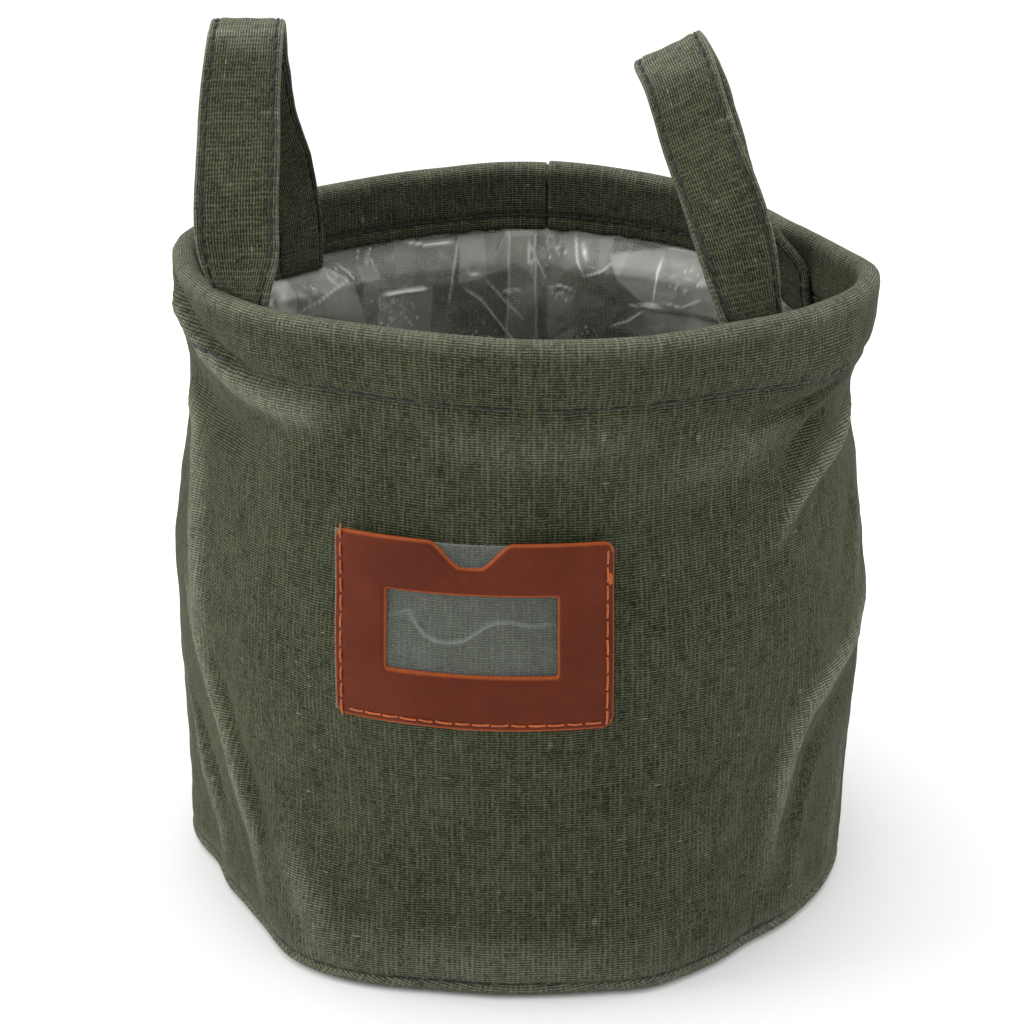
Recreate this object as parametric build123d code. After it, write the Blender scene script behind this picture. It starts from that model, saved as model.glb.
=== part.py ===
from build123d import *
import os
from math import acos, cos, pi, radians, sin, sqrt

# A small round canvas picking bag. Millimetres, +Z up, the label side faces -Y.
# The origin is the middle of the base, on the surface that the bag stands on.

# The bag's outside: an upright tube that swells at the belly and pinches in under the hem.
bag_radius = 79.0
bag_height = 148.0
belly_swell = 1.9
belly_height = 72.0
waist_pinch = 2.6
waist_drop = 30.0
rim_flare = 0.4
wall_rings = 24

# Cloth, film and thread.
canvas = 1.0
film = 0.3
thread = 0.5
ply_clearance = 0.15
thread_clearance = 0.1

# The hem is the top of the wall, rolled over to the inside and sewn down.
hem_thickness = 4.8
hem_depth = 17.0
hem_stitch_drop = 14.0

# The base is a shallow dish, sewn to the wall just above the ground.
base_seam_height = 3.0
base_corner = 2.6
allowance_width = 7.0
allowance_plies = 1.6

# The upright seam that closes the wall, at the back.
back_seam_x = 7.5
back_allowance_width = 9.8

# The film liner hangs inside the canvas, with its top edge caught in the hem.
liner_offset = 2.8
liner_tuck = 5.0
liner_flare = 10.0

# Handles: a folded canvas strap, both ends sewn to the inside of the hem.
strap_width = 16.5
strap_thickness = 2.2
strap_spread = 77.6
tab_overhang = 3.0
edge_margin = 1.6
arch_rise = 43.5
arch_power = 1.5
arch_points = 17
hinge_lift = 5.0
hinge_radius = 10.5
hinge_clearance = 0.3
handles = {
    "left": {"azimuth": 178.1, "lean": -4.0},
    "right": {"azimuth": -11.0, "lean": 35.0},
}

# Label holder: a leather frame over a clear film pocket that is open at the top.
label_width = 58.0
label_height = 41.0
label_middle = 85.5
label_turn = -7.4
label_corner = 2.5
leather = 1.5
film_margin = 1.0
window_width = 35.3
window_height = 17.5
window_offset = 0.5
notch_width = 14.8
notch_depth = 5.0
stitch_pitch = 3.9
stitch_length = 3.1
stitch_margin = 1.4

stations = [
    (base_seam_height, bag_radius),
    (belly_height, bag_radius + belly_swell),
    (bag_height - waist_drop, bag_radius - waist_pinch),
    (bag_height - hem_thickness / 2, bag_radius + rim_flare),
]
rim_radius = stations[-1][1]
hem_inner = rim_radius - hem_thickness
hem_bottom = bag_height - hem_depth
allowance_top = hem_bottom - liner_flare
stitch_height = bag_height - hem_stitch_drop
label_back = bag_radius + belly_swell + ply_clearance
label_face = label_back + film + ply_clearance + leather
tab_radius = hem_inner - ply_clearance - strap_thickness / 2
hinge_height = bag_height + hinge_lift


def wall_radius(height):
    """Outer radius of the wall, eased from each station to the next."""
    height = min(max(height, stations[0][0]), stations[-1][0])
    for (low, low_radius), (high, high_radius) in zip(stations, stations[1:]):
        if height <= high:
            ease = (1 - cos(pi * (height - low) / (high - low))) / 2
            return low_radius + (high_radius - low_radius) * ease


def shell(bottom, top, offset, thickness):
    """A tube of cloth that follows the wall, with its outer face offset inwards."""
    heights = [bottom + (top - bottom) * i / wall_rings for i in range(wall_rings + 1)]
    outer = [(wall_radius(z) - offset, z) for z in heights]
    inner = [(r - thickness, z) for r, z in outer]
    edges = [
        Spline(*outer),
        Line(outer[-1], inner[-1]),
        Spline(*reversed(inner)),
        Line(inner[0], outer[0]),
    ]
    return turned(make_face(edges))


def turned(face):
    """The solid that a profile of (radius, height) sweeps around the bag's axis."""
    return revolve(Plane.XZ * face, Axis.Z, 360)


def ring_box(inner, outer, bottom, top):
    """A plain ring of rectangular section."""
    return turned(make_face(Polyline((inner, bottom), (outer, bottom), (outer, top), (inner, top), close=True)))


def thread_ring(radius, height):
    """One run of thread around the bag."""
    return Pos(0, 0, height) * Torus(radius, thread / 2)


def wall_panel():
    return shell(base_seam_height, stations[-1][0], 0, canvas)


def hem_band():
    """The rolled crest and the ply that comes down inside."""
    roll = hem_thickness / 2
    seat = bag_height - roll
    middle = rim_radius - roll
    low = (hem_inner + canvas, hem_bottom)
    section = [
        CenterArc((middle, seat), roll, 0, 180),
        Line((hem_inner, seat), (hem_inner, hem_bottom)),
        Line((hem_inner, hem_bottom), low),
        Line(low, (hem_inner + canvas, seat)),
        CenterArc((middle, seat), roll - canvas, 0, 180),
        Line((rim_radius - canvas, seat), (rim_radius, seat)),
    ]
    return turned(make_face(section))


def base_panel():
    """The round base, turned up at its edge to meet the wall."""
    edge = bag_radius - base_corner
    section = [
        Line((0, 0), (edge, 0)),
        RadiusArc((edge, 0), (bag_radius, base_seam_height), -max(base_corner, base_seam_height)),
        Line((bag_radius, base_seam_height), (bag_radius - canvas, base_seam_height)),
        RadiusArc((bag_radius - canvas, base_seam_height), (edge - canvas, canvas), max(base_corner, base_seam_height)),
        Line((edge - canvas, canvas), (0, canvas)),
        Line((0, canvas), (0, 0)),
    ]
    return turned(make_face(section))


def base_seam_allowance():
    """The cut edges of wall and base, turned up together inside."""
    outer = bag_radius - canvas - ply_clearance
    bottom = base_seam_height + ply_clearance
    return ring_box(outer - allowance_plies, outer, bottom, bottom + allowance_width)


def liner_radius(height):
    """Outer radius of the film: inside the seams below, midway between the plies of the hem above."""
    hung = wall_radius(height) - canvas - liner_offset
    caught = (wall_radius(height) + hem_inner + film) / 2
    blend = min(max((height - allowance_top) / (hem_bottom - allowance_top), 0), 1)
    return hung + (caught - hung) * (3 * blend**2 - 2 * blend**3)


def liner_wall():
    bottom = canvas + 2 * ply_clearance + film
    top = hem_bottom + liner_tuck
    heights = [bottom + (top - bottom) * i / wall_rings for i in range(wall_rings + 1)]
    outer = [(liner_radius(z), z) for z in heights]
    inner = [(r - film, z) for r, z in outer]
    edges = [
        Spline(*outer),
        Line(outer[-1], inner[-1]),
        Spline(*reversed(inner)),
        Line(inner[0], outer[0]),
    ]
    return turned(make_face(edges))


def liner_base():
    return Pos(0, 0, canvas + ply_clearance + film / 2) * Cylinder(liner_radius(0) - film, film)


def back_seam_allowance():
    """Two plies of cut edge, pressed to one side of the back seam."""
    bottom = base_seam_height + 2 * ply_clearance + allowance_width
    plies = shell(bottom, allowance_top, canvas + ply_clearance, allowance_plies)
    middle = back_seam_x - back_allowance_width / 2
    depth = bag_radius
    return plies & Pos(middle, depth, bag_height / 2) * Box(back_allowance_width, depth, bag_height)


def back_seam_stitching():
    """The seam's thread, which runs up the allowance beside the seam."""
    bottom = base_seam_height + 2 * ply_clearance + allowance_width
    depth = canvas + ply_clearance + allowance_plies + thread_clearance
    run = shell(bottom, allowance_top, depth, thread)
    return run & Pos(back_seam_x - edge_margin, bag_radius, bag_height / 2) * Box(thread, bag_radius, bag_height)


def on_label(offset, height):
    """A place on the label's front, a distance along it from its middle."""
    return Rot(0, 0, label_turn + offset / label_face * 180 / pi) * Pos(0, -label_face, height)


def label_sheet(width, height, corner, radius, thickness, cuts=()):
    """A flat piece bent round the bag: its outline, cut through a ring."""
    outline = RectangleRounded(chord(width, radius), height, corner)
    for cut in cuts:
        outline -= cut
    front = Plane(origin=(0, 0, label_middle), x_dir=(1, 0, 0), z_dir=(0, -1, 0))
    plate = Rot(0, 0, label_turn) * extrude(front * outline, amount=2 * radius)
    return plate & ring_box(radius, radius + thickness, 0, bag_height)


def chord(width, radius):
    """The straight width of a piece that is bent round a radius."""
    return 2 * radius * sin(width / radius / 2)


def notch():
    """The thumb notch: a shallow dip in the top edge with sloping sides."""
    half = notch_width / 2
    top = label_height / 2
    flat = half * 0.3
    dip = [(-half, top), (-flat, top - notch_depth), (flat, top - notch_depth), (half, top)]
    return make_face(Polyline(*dip, (half, top + 1), (-half, top + 1), close=True))


def label_window_film():
    width = label_width - film_margin
    height = label_height - film_margin
    return label_sheet(width, height, label_corner / 2, label_back, film)


def label_frame():
    radius = label_face - leather
    window = Pos(window_offset, 0) * RectangleRounded(chord(window_width, radius), window_height, 1.0)
    return label_sheet(label_width, label_height, label_corner, radius, leather, [window, notch()])


def label_stitching():
    """Separate stitches down both sides and along the bottom, and a tack at the top right."""
    side = label_width / 2 - stitch_margin
    low = label_middle - label_height / 2 + stitch_margin
    rows = int((label_height - stitch_margin) / stitch_pitch)
    columns = int((2 * side) / stitch_pitch)
    upright = Box(thread, thread, stitch_length)
    level = Box(stitch_length, thread, thread)
    lift = Pos(0, -thread / 2 - thread_clearance, 0)
    stitches = []
    for row in range(rows):
        height = low + stitch_pitch * (row + 0.5)
        stitches.append(on_label(-side, height) * lift * upright)
        if row < rows - 1:
            stitches.append(on_label(side, height) * lift * upright)
    for column in range(columns):
        offset = -side + 2 * side * (column + 0.5) / columns
        stitches.append(on_label(offset, low) * lift * level)
    tack = Box(2 * thread, thread, thread)
    stitches.append(on_label(side + 2 * thread, low + stitch_pitch * (rows - 2.5)) * lift * tack)
    return Compound(children=stitches)


def handle_frame(azimuth, lean):
    """The plane of a handle's arch: x along its hinge, y up, z out of the bag."""
    angle = radians(azimuth)
    along = Vector(-sin(angle), cos(angle), 0)
    middle = tab_radius * cos(radians(strap_spread / 2))
    origin = (middle * cos(angle), middle * sin(angle), hinge_height)
    outward = Vector(cos(angle), sin(angle), 0).rotate(Axis((0, 0, 0), along), -lean)
    return Plane(origin=origin, x_dir=along, z_dir=outward)


def arch_line(offset):
    """Points along the arch, moved out from the strap's middle line by an offset."""
    half = tab_radius * sin(radians(strap_spread / 2))
    power = 2 / arch_power
    line = []
    for i in range(arch_points):
        t = pi * i / (arch_points - 1)
        x = half * abs(cos(t)) ** power * (1 if cos(t) > 0 else -1)
        y = arch_rise * sin(t) ** power
        lean_x = abs(x / half) ** (arch_power - 1) / half * (1 if x > 0 else -1)
        lean_y = (y / arch_rise) ** (arch_power - 1) / arch_rise
        size = sqrt(lean_x**2 + lean_y**2)
        line.append((x + offset * lean_x / size, y + offset * lean_y / size))
    return line


def arch_band(plane, inner, outer, low, high):
    """A band along the arch, from one offset to another and from side to side of the strap."""
    near = arch_line(inner)
    far = arch_line(outer)
    edges = [Spline(*far), Line(far[-1], near[-1]), Spline(*reversed(near)), Line(near[0], far[0])]
    band = extrude(plane.offset(low) * make_face(edges), amount=high - low)
    reach = 4 * bag_radius
    pivot = plane * Rot(0, 90, 0) * Cylinder(hinge_radius, reach)
    below = plane * Pos(0, -hinge_radius, 0) * Box(reach, 2 * hinge_radius, 4 * strap_width)
    return band - pivot - below


def handle_strap(plane):
    half = strap_thickness / 2
    return arch_band(plane, -half, half, -strap_width / 2, strap_width / 2)


def handle_stitching(plane):
    """Two rows of edge stitching on each face of the strap."""
    near = strap_thickness / 2 + thread_clearance
    side = strap_width / 2 - edge_margin
    runs = []
    for row in (-side, side):
        for inner, outer in ((near, near + thread), (-near - thread, -near)):
            runs.append(arch_band(plane, inner, outer, row - thread / 2, row + thread / 2))
    return Compound(children=runs)


def handle_tab(azimuth, side):
    """The sewn end of a strap, flat on the hem, up to the rounded end that the arch turns about."""
    angle = azimuth + side * strap_spread / 2
    spread = strap_width / tab_radius * 180 / pi
    inner = tab_radius - strap_thickness / 2
    outer = tab_radius + strap_thickness / 2
    bottom = hem_bottom - tab_overhang
    rise = hinge_height + hinge_radius
    ring = make_face(Polyline((inner, bottom), (outer, bottom), (outer, rise), (inner, rise), close=True))
    slab = Rot(0, 0, angle - spread / 2) * revolve(Plane.XZ * ring, Axis.Z, spread)
    upright = handle_frame(azimuth, 0)
    reach = 4 * bag_radius
    nose = upright * Rot(0, 90, 0) * Cylinder(hinge_radius - hinge_clearance, reach)
    depth = hinge_height - bottom + 1
    stem = upright * Pos(0, -depth / 2, 0) * Box(reach, depth, reach)
    return slab & (nose + stem)


def hem_stitching(side):
    """The thread that holds the hem, on the outside or on the inside of the bag."""
    reach = thread / 2 + thread_clearance
    if side == "outer":
        return thread_ring(wall_radius(stitch_height) + reach, stitch_height)
    return thread_ring(tab_radius - strap_thickness / 2 - reach, stitch_height)


def base_stitching():
    height = base_seam_height + thread
    return thread_ring(wall_radius(height) + thread / 2 + thread_clearance, height)


parts = {
    "wall_panel": wall_panel(),
    "hem_band": hem_band(),
    "hem_stitching_outer": hem_stitching("outer"),
    "hem_stitching_inner": hem_stitching("inner"),
    "back_seam_allowance": back_seam_allowance(),
    "back_seam_stitching": back_seam_stitching(),
    "base_panel": base_panel(),
    "base_seam_allowance": base_seam_allowance(),
    "base_stitching": base_stitching(),
    "liner_wall": liner_wall(),
    "liner_base": liner_base(),
    "label_window_film": label_window_film(),
    "label_frame": label_frame(),
    "label_stitching": label_stitching(),
}
for name, place in handles.items():
    arch = handle_frame(place["azimuth"], place["lean"])
    front = -1 if name == "right" else 1
    parts["handle_" + name] = handle_strap(arch)
    parts["handle_" + name + "_stitching"] = handle_stitching(arch)
    parts["handle_" + name + "_front_tab"] = handle_tab(place["azimuth"], front)
    parts["handle_" + name + "_back_tab"] = handle_tab(place["azimuth"], -front)
    print(name, "hinge at", [round(v, 3) for v in arch.origin], "along", [round(v, 5) for v in arch.x_dir])

os.makedirs("parts", exist_ok=True)
for name, shape in parts.items():
    export_step(shape, "parts/" + name + ".step")
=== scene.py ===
import math

import bmesh
import bpy
import numpy as np
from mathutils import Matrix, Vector, geometry, noise


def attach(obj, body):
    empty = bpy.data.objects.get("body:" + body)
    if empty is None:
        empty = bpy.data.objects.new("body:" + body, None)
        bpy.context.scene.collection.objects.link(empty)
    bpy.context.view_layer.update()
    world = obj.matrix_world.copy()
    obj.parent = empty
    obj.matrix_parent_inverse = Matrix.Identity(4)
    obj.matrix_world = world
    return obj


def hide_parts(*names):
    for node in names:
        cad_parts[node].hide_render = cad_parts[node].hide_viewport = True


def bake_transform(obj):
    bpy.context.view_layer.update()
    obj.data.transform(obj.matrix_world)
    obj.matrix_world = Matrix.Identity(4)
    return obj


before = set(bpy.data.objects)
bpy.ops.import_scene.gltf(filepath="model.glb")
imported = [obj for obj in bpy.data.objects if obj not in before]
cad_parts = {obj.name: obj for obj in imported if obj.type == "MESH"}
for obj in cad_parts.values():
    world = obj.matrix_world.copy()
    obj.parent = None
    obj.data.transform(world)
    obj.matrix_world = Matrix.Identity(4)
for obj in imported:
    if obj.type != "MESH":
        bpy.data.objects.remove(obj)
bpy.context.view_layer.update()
scene = bpy.context.scene
print("frame loaded")

# metres everywhere; azimuth is 0 at the front (-Y), +90 degrees at the right (+X), 180 at the back
mm = 0.001
girth = 0.0795      # radius that the cloth's own measure is laid out on
wholeTurn = 2 * math.pi


def ease(value, low, high):
    t = np.clip((value - low) / (high - low), 0, 1)
    return t * t * (3 - 2 * t)


def bell(distance, width):
    return np.exp(-(distance / width) ** 2)


def turnFrom(azimuth, middle):
    # signed angle from a middle azimuth, the short way round
    return (azimuth - middle + np.pi) % wholeTurn - np.pi


def outwardAt(azimuth):
    # level direction straight out of the bag
    return np.stack([np.sin(azimuth), -np.cos(azimuth), 0 * azimuth], -1)


def runAlong(points):
    # distance run so far at each point of a line
    return np.concatenate([[0], np.cumsum(np.linalg.norm(np.diff(points, axis=0), axis=1))])


def curveThrough(at, values, wanted):
    # a smooth curve through values given at increasing places
    slope = np.gradient(values, at, axis=0)
    i = np.clip(np.searchsorted(at, wanted, side="right") - 1, 0, len(at) - 2)
    span = at[i + 1] - at[i]
    t = (wanted - at[i]) / span
    if values.ndim > 1:
        t, span = t[:, None], span[:, None]
    return ((1 + 2 * t) * (1 - t) ** 2 * values[i] + t * (1 - t) ** 2 * span * slope[i]
            + t * t * (3 - 2 * t) * values[i + 1] + t * t * (t - 1) * span * slope[i + 1])


def aroundBag(pairs, azimuth):
    # a smooth closed curve through (degrees, value) pairs
    at, value = np.array(pairs, float).T
    at = np.concatenate([at[-3:] - 360, at, at[:3] + 360])
    value = np.concatenate([value[-3:], value, value[:3]])
    return curveThrough(at, value, (np.degrees(azimuth) - pairs[0][0]) % 360 + pairs[0][0])


# shape of the soft bag, shared by every piece that lies on it
bag = {
    "stations": ((0.003, 0.0790), (0.072, 0.0809), (0.118, 0.0764), (0.1456, 0.0794)),
    "crest": 0.148,
    "hemRoll": 0.0048,
    "hemDepth": 0.017,
    "canvas": 0.001,
    "stitchDrop": 0.0144,
    # heights between which each shift below comes in, or its middle and its reach
    "rimBand": (0.112, 0.141), "footBand": (0.000, 0.046), "waistBand": (0.121, 0.011),
    "riseBand": (0.085, 0.147), "stitchBand": (0.134, 0.006),
    # (degrees, mm) all round: how far the rim, foot and waist stand out, and the rim and stitch line rise
    "rimOut": ((-160, 0.2), (-140, -0.8), (-115, -0.5), (-90, -0.3), (-63, -1.1), (-45, -1.0), (-28, -2.2),
               (-12, -1.6), (3, 0.0), (18, 1.3), (31, 0.9), (45, 2.3), (67, 2.7), (79, 1.0), (90, -3.2),
               (101, -5.8), (113, -6.6), (127, -4.4), (145, -1.2), (168, 1.4), (178, 1.6)),
    "rimUp": ((-165, 0.3), (-138, -0.6), (-110, -0.2), (-80, 0.3), (-50, 0.2), (-24, 0.5), (3, 0.0), (35, 0.1),
              (60, -0.3), (80, -1.2), (100, -2.2), (120, -2.2), (145, -0.7), (170, 0.9), (178, 1.3)),
    "footOut": ((-150, 0.6), (-118, -0.8), (-88, 2.0), (-65, -2.6), (-50, -0.6), (-37, 5.0), (-27, 6.2),
                (-15, 4.0), (0, 2.1), (10, 2.2), (20, 3.2), (32, 1.9), (43, 0.4), (55, 0.8), (66, 0.5),
                (88, -1.2), (112, 0.8), (140, -0.9), (172, 0.6)),
    "waistOut": ((-150, 0.3), (-90, -0.9), (-60, -0.5), (-20, 0.2), (20, 0.2), (50, 0.2), (62, -0.6),
                 (90, -1.0), (130, 0.4), (178, 0.0)),
    "stitchUp": ((-100, 0.3), (-50, 0.0), (0, 0.0), (35, -0.3), (55, -2.3), (75, -2.0), (110, 0.0), (178, 0.0)),
    # creases: ((degrees, height in mm), ...), width and lift in mm
    "creases": (
        (((-84, 146), (-70, 140), (-62, 136.8), (-54, 135), (-44, 133.6)), 1.8, -3.0),
        (((-80, 141), (-68, 135), (-58, 131.5), (-48, 130)), 2.4, 1.9),
        (((-56, 131), (-46, 128.6), (-38, 127.2), (-30, 128)), 3.0, 1.7),
        (((-78, 124), (-66, 121), (-56, 118), (-44, 117)), 4.4, -2.9),
        (((-82, 120), (-70, 113), (-66, 103), (-64, 88), (-62, 74), (-60, 62)), 3.4, 2.1),
        (((-76, 108), (-74, 92), (-72, 76)), 5.0, -1.0),
        (((-70, 84), (-64, 69), (-60, 57), (-54, 44), (-50, 27), (-46, 9)), 3.0, 1.9),
        (((-60, 66), (-55, 54), (-49, 38), (-43, 18)), 3.0, -1.7),
        (((-78, 60), (-72, 42), (-66, 22), (-62, 6)), 3.2, 1.5),
        (((-74, 50), (-66, 34), (-58, 16)), 3.0, -1.9),
        (((-92, 60), (-86, 40), (-84, 18)), 4.2, 0.9),
        (((-40, 30), (-34, 16), (-29, 4)), 4.0, 1.0),
        (((64, 131), (56, 127.4), (48, 126.2), (38, 127)), 1.8, -2.7),
        (((78, 119), (70, 114), (61, 110.4), (54, 108), (48, 104), (44, 97)), 1.7, 2.7),
        (((62, 122), (55, 118.4), (50, 115), (45, 111)), 2.8, -3.3),
        (((50, 124), (40, 121), (30, 118), (20, 117)), 5.0, 0.6),
        (((84, 110), (77, 96), (72, 82), (70, 70)), 3.2, 1.1),
        (((74, 100), (67, 88), (64, 76)), 4.4, -1.0),
        (((88, 72), (72, 63), (60, 59.5), (52, 56), (48, 45), (46, 32), (44, 18)), 3.0, 2.1),
        (((78, 54), (66, 50), (56, 44), (52, 30), (50, 14)), 3.6, -1.9),
        (((60, 46), (55, 34), (52, 20), (52, 6)), 2.6, 0.9),
        (((40, 52), (38, 36), (37, 20)), 3.2, -0.7),
        (((72, 40), (68, 22), (64, 6)), 3.6, 0.8),
        (((-18, 128), (-6, 125), (8, 125), (20, 127)), 4.6, 0.5),
        (((-30, 12), (-12, 9), (8, 8.5), (24, 11)), 5.0, 0.7),
        (((118, 130), (110, 112), (104, 92), (102, 70)), 5.0, 1.3),
        (((134, 120), (126, 100), (120, 78)), 6.0, -1.3),
        (((150, 96), (140, 70), (134, 42), (130, 14)), 5.0, 1.1),
        (((-120, 128), (-112, 108), (-108, 86), (-106, 60)), 5.0, 1.2),
        (((-140, 112), (-130, 86), (-124, 56)), 6.0, -1.2),
        (((-156, 80), (-148, 50), (-142, 20)), 5.0, 1.0),
        (((170, 70), (164, 44), (158, 16)), 5.5, 0.9),
        (((-170, 120), (-160, 104), (-150, 96)), 5.0, 0.7),
    ),
    "seed": 11,
}
bag["rim"] = bag["stations"][-1][1]
bag["hemInner"] = bag["rim"] - bag["hemRoll"]
bag["hemBottom"] = bag["crest"] - bag["hemDepth"]
bag["stitchLine"] = bag["crest"] - bag["stitchDrop"]

waveDice = np.random.default_rng(bag["seed"])
bagWaves = [(int(turns), waveDice.uniform(-110, 110), waveDice.uniform(0, 6.28), 1.9 / (turns + 5))
            for turns in waveDice.integers(3, 30, 26)]


def wallRadius(height):
    at, radius = np.array(bag["stations"]).T
    height = np.clip(height, at[0], at[-1])
    i = np.clip(np.searchsorted(at, height, side="right") - 1, 0, len(at) - 2)
    t = (1 - np.cos(np.pi * (height - at[i]) / (at[i + 1] - at[i]))) / 2
    return radius[i] + (radius[i + 1] - radius[i]) * t


def creaseField(azimuth, height):
    total = np.zeros(np.broadcast(azimuth, height).shape)
    z = height / mm
    for line, width, lift in bag["creases"]:
        middle = math.radians(sum(p[0] for p in line) / len(line))
        s = turnFrom(azimuth, middle) * girth / mm
        points = [((math.radians(a) - middle) * girth / mm, h) for a, h in line]
        lengths = [math.dist(p, q) for p, q in zip(points, points[1:])]
        best = np.full(total.shape, 1e9)
        share = np.zeros(total.shape)
        done = 0
        for (p, q), length in zip(zip(points, points[1:]), lengths):
            dx, dz = (q[0] - p[0]) / length, (q[1] - p[1]) / length
            t = np.clip((s - p[0]) * dx + (z - p[1]) * dz, 0, length)
            gap = np.hypot(s - p[0] - t * dx, z - p[1] - t * dz)
            nearer = gap < best
            best = np.where(nearer, gap, best)
            share = np.where(nearer, (done + t) / sum(lengths), share)
            done += length
        total += lift * bell(best, width) * np.sin(np.pi * np.clip(share, 0.02, 0.98)) ** 0.7
    return total


def labelCalm(azimuth, height):
    # the stiff label keeps the cloth behind it smooth
    arc = (azimuth - math.radians(label["turn"])) * girth
    near, far = label["calm"]
    side = 1 - ease(np.abs(arc), label["width"] / 2 + near, label["width"] / 2 + far)
    level = 1 - ease(np.abs(height - label["middle"]), label["height"] / 2 + near, label["height"] / 2 + far)
    return side * level


def bagShift(azimuth, height):
    # how far the bag's skin stands out from its plain round shape, and how far it is raised
    azimuth, height = np.broadcast_arrays(np.asarray(azimuth, float), np.asarray(height, float))
    rim = ease(height, *bag["rimBand"])
    foot = 1 - ease(height, *bag["footBand"])
    waist = bell(height - bag["waistBand"][0], bag["waistBand"][1])
    out = aroundBag(bag["rimOut"], azimuth) * rim + aroundBag(bag["footOut"], azimuth) * foot
    out = out + aroundBag(bag["waistOut"], azimuth) * waist
    behind = labelCalm(azimuth, height)
    waves = sum(lift * np.sin(turns * azimuth + rise * height + phase) for turns, rise, phase, lift in bagWaves)
    out = out + waves * (1 - behind) * (0.55 + 0.45 * foot) * (1 - 0.6 * rim)
    out = out + creaseField(azimuth, height) * (1 - behind)
    # the label leans: its top stands out of the cloth and its foot lies in
    out = out + behind * (ease(height, *label["topOut"]) - 0.25 * (1 - ease(height, *label["footIn"])))
    up = aroundBag(bag["rimUp"], azimuth) * ease(height, *bag["riseBand"])
    up = up + aroundBag(bag["stitchUp"], azimuth) * bell(height - bag["stitchBand"][0], bag["stitchBand"][1])
    return out * mm, up * mm


def onBag(azimuth, radius, height, extra=0.0):
    # a point given by its plain place (azimuth, radius, height), moved with the soft bag
    out, up = bagShift(azimuth, height)
    r = radius + (out + extra * mm) * ease(radius, 0.02, 0.07)
    return np.stack([r * np.sin(azimuth), -r * np.cos(azimuth), height + up + 0 * r], -1)


# mesh helpers
def makeMesh(name, points, faces, uv=None, marks=None):
    mesh = bpy.data.meshes.new(name)
    mesh.from_pydata([tuple(p) for p in points], [], faces)
    if uv is not None:
        layer = mesh.uv_layers.new(name="weave")
        layer.data.foreach_set("uv", np.asarray(uv, np.float32).ravel())
    for key, values in (marks or {}).items():
        mark = mesh.attributes.new(key, "FLOAT", "POINT")
        mark.data.foreach_set("value", np.asarray(values, np.float32).ravel())
    mesh.validate()
    mesh.shade_smooth()
    made = bpy.data.objects.new(name, mesh)
    scene.collection.objects.link(made)
    return made


def fan(ring, middle, turned=False):
    # triangles from a closed ring of points to a middle one
    return [(b, a, middle) if turned else (a, b, middle) for a, b in zip(ring, ring[1:] + ring[:1])]


def gridMesh(name, points, u, v, closedU=False, closedV=False, caps=(), marks=None, uSpan=0.0, vSpan=0.0,
             swapUv=False):
    # points[j, i]: i runs along u and j along v, with outward = u x v; no UV where u is None
    rows, columns = points.shape[:2]
    faces, uv = [], []
    for j in range(rows if closedV else rows - 1):
        jn = (j + 1) % rows
        for i in range(columns if closedU else columns - 1):
            iN = (i + 1) % columns
            faces.append((j * columns + i, j * columns + iN, jn * columns + iN, jn * columns + i))
            if u is not None:
                uLow, uHigh = u[i], u[iN] if iN > i else u[0] + uSpan
                vLow, vHigh = v[j], v[jn] if jn > j else v[j] + vSpan
                uv += [(uLow, vLow), (uHigh, vLow), (uHigh, vHigh), (uLow, vHigh)]
    flat = [tuple(p) for p in points.reshape(-1, 3)]
    marks = {key: list(np.asarray(m, float).ravel()) for key, m in (marks or {}).items()}
    for row in caps:
        # a fan to a middle point closes this row
        ring = [row * columns + i for i in range(columns)]
        faces += fan(ring, len(flat), turned=row == 0)
        flat.append(tuple(points[row].mean(0)))
        for values in marks.values():
            values.append(values[ring[0]])
        if u is not None:
            uv += [(u[i], v[row]) for i in range(columns) for _ in range(3)]
    if swapUv:
        uv = [(down, across) for across, down in uv]
    return makeMesh(name, flat, faces, uv or None, marks)


def wobble(points, scale, lift, seed):
    # a fixed soft noise at each point
    shift = Vector((seed * 3.7, seed * 1.3, seed * 2.1))
    flat = points.reshape(-1, 3)
    return np.array([noise.noise(Vector(p) * scale + shift) for p in flat]).reshape(points.shape[:-1]) * lift


def insideOutline(x, y, outline):
    inside = np.zeros(x.shape, bool)
    for (ax, ay), (bx, by) in zip(outline, outline[1:] + outline[:1]):
        crosses = (ay > y) != (by > y)
        with np.errstate(divide="ignore", invalid="ignore"):
            at = (bx - ax) * (y - ay) / (by - ay) + ax
        inside ^= crosses & (x < at)
    return inside


def edgeDistance(x, y, outlines, far=1.0, closed=True):
    best = np.full(x.shape, far)
    for outline in outlines:
        for (ax, ay), (bx, by) in zip(outline, outline[1:] + outline[:1] if closed else outline[1:]):
            dx, dy = bx - ax, by - ay
            t = np.clip(((x - ax) * dx + (y - ay) * dy) / (dx * dx + dy * dy + 1e-18), 0, 1)
            best = np.minimum(best, np.hypot(x - ax - t * dx, y - ay - t * dy))
    return best


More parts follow.
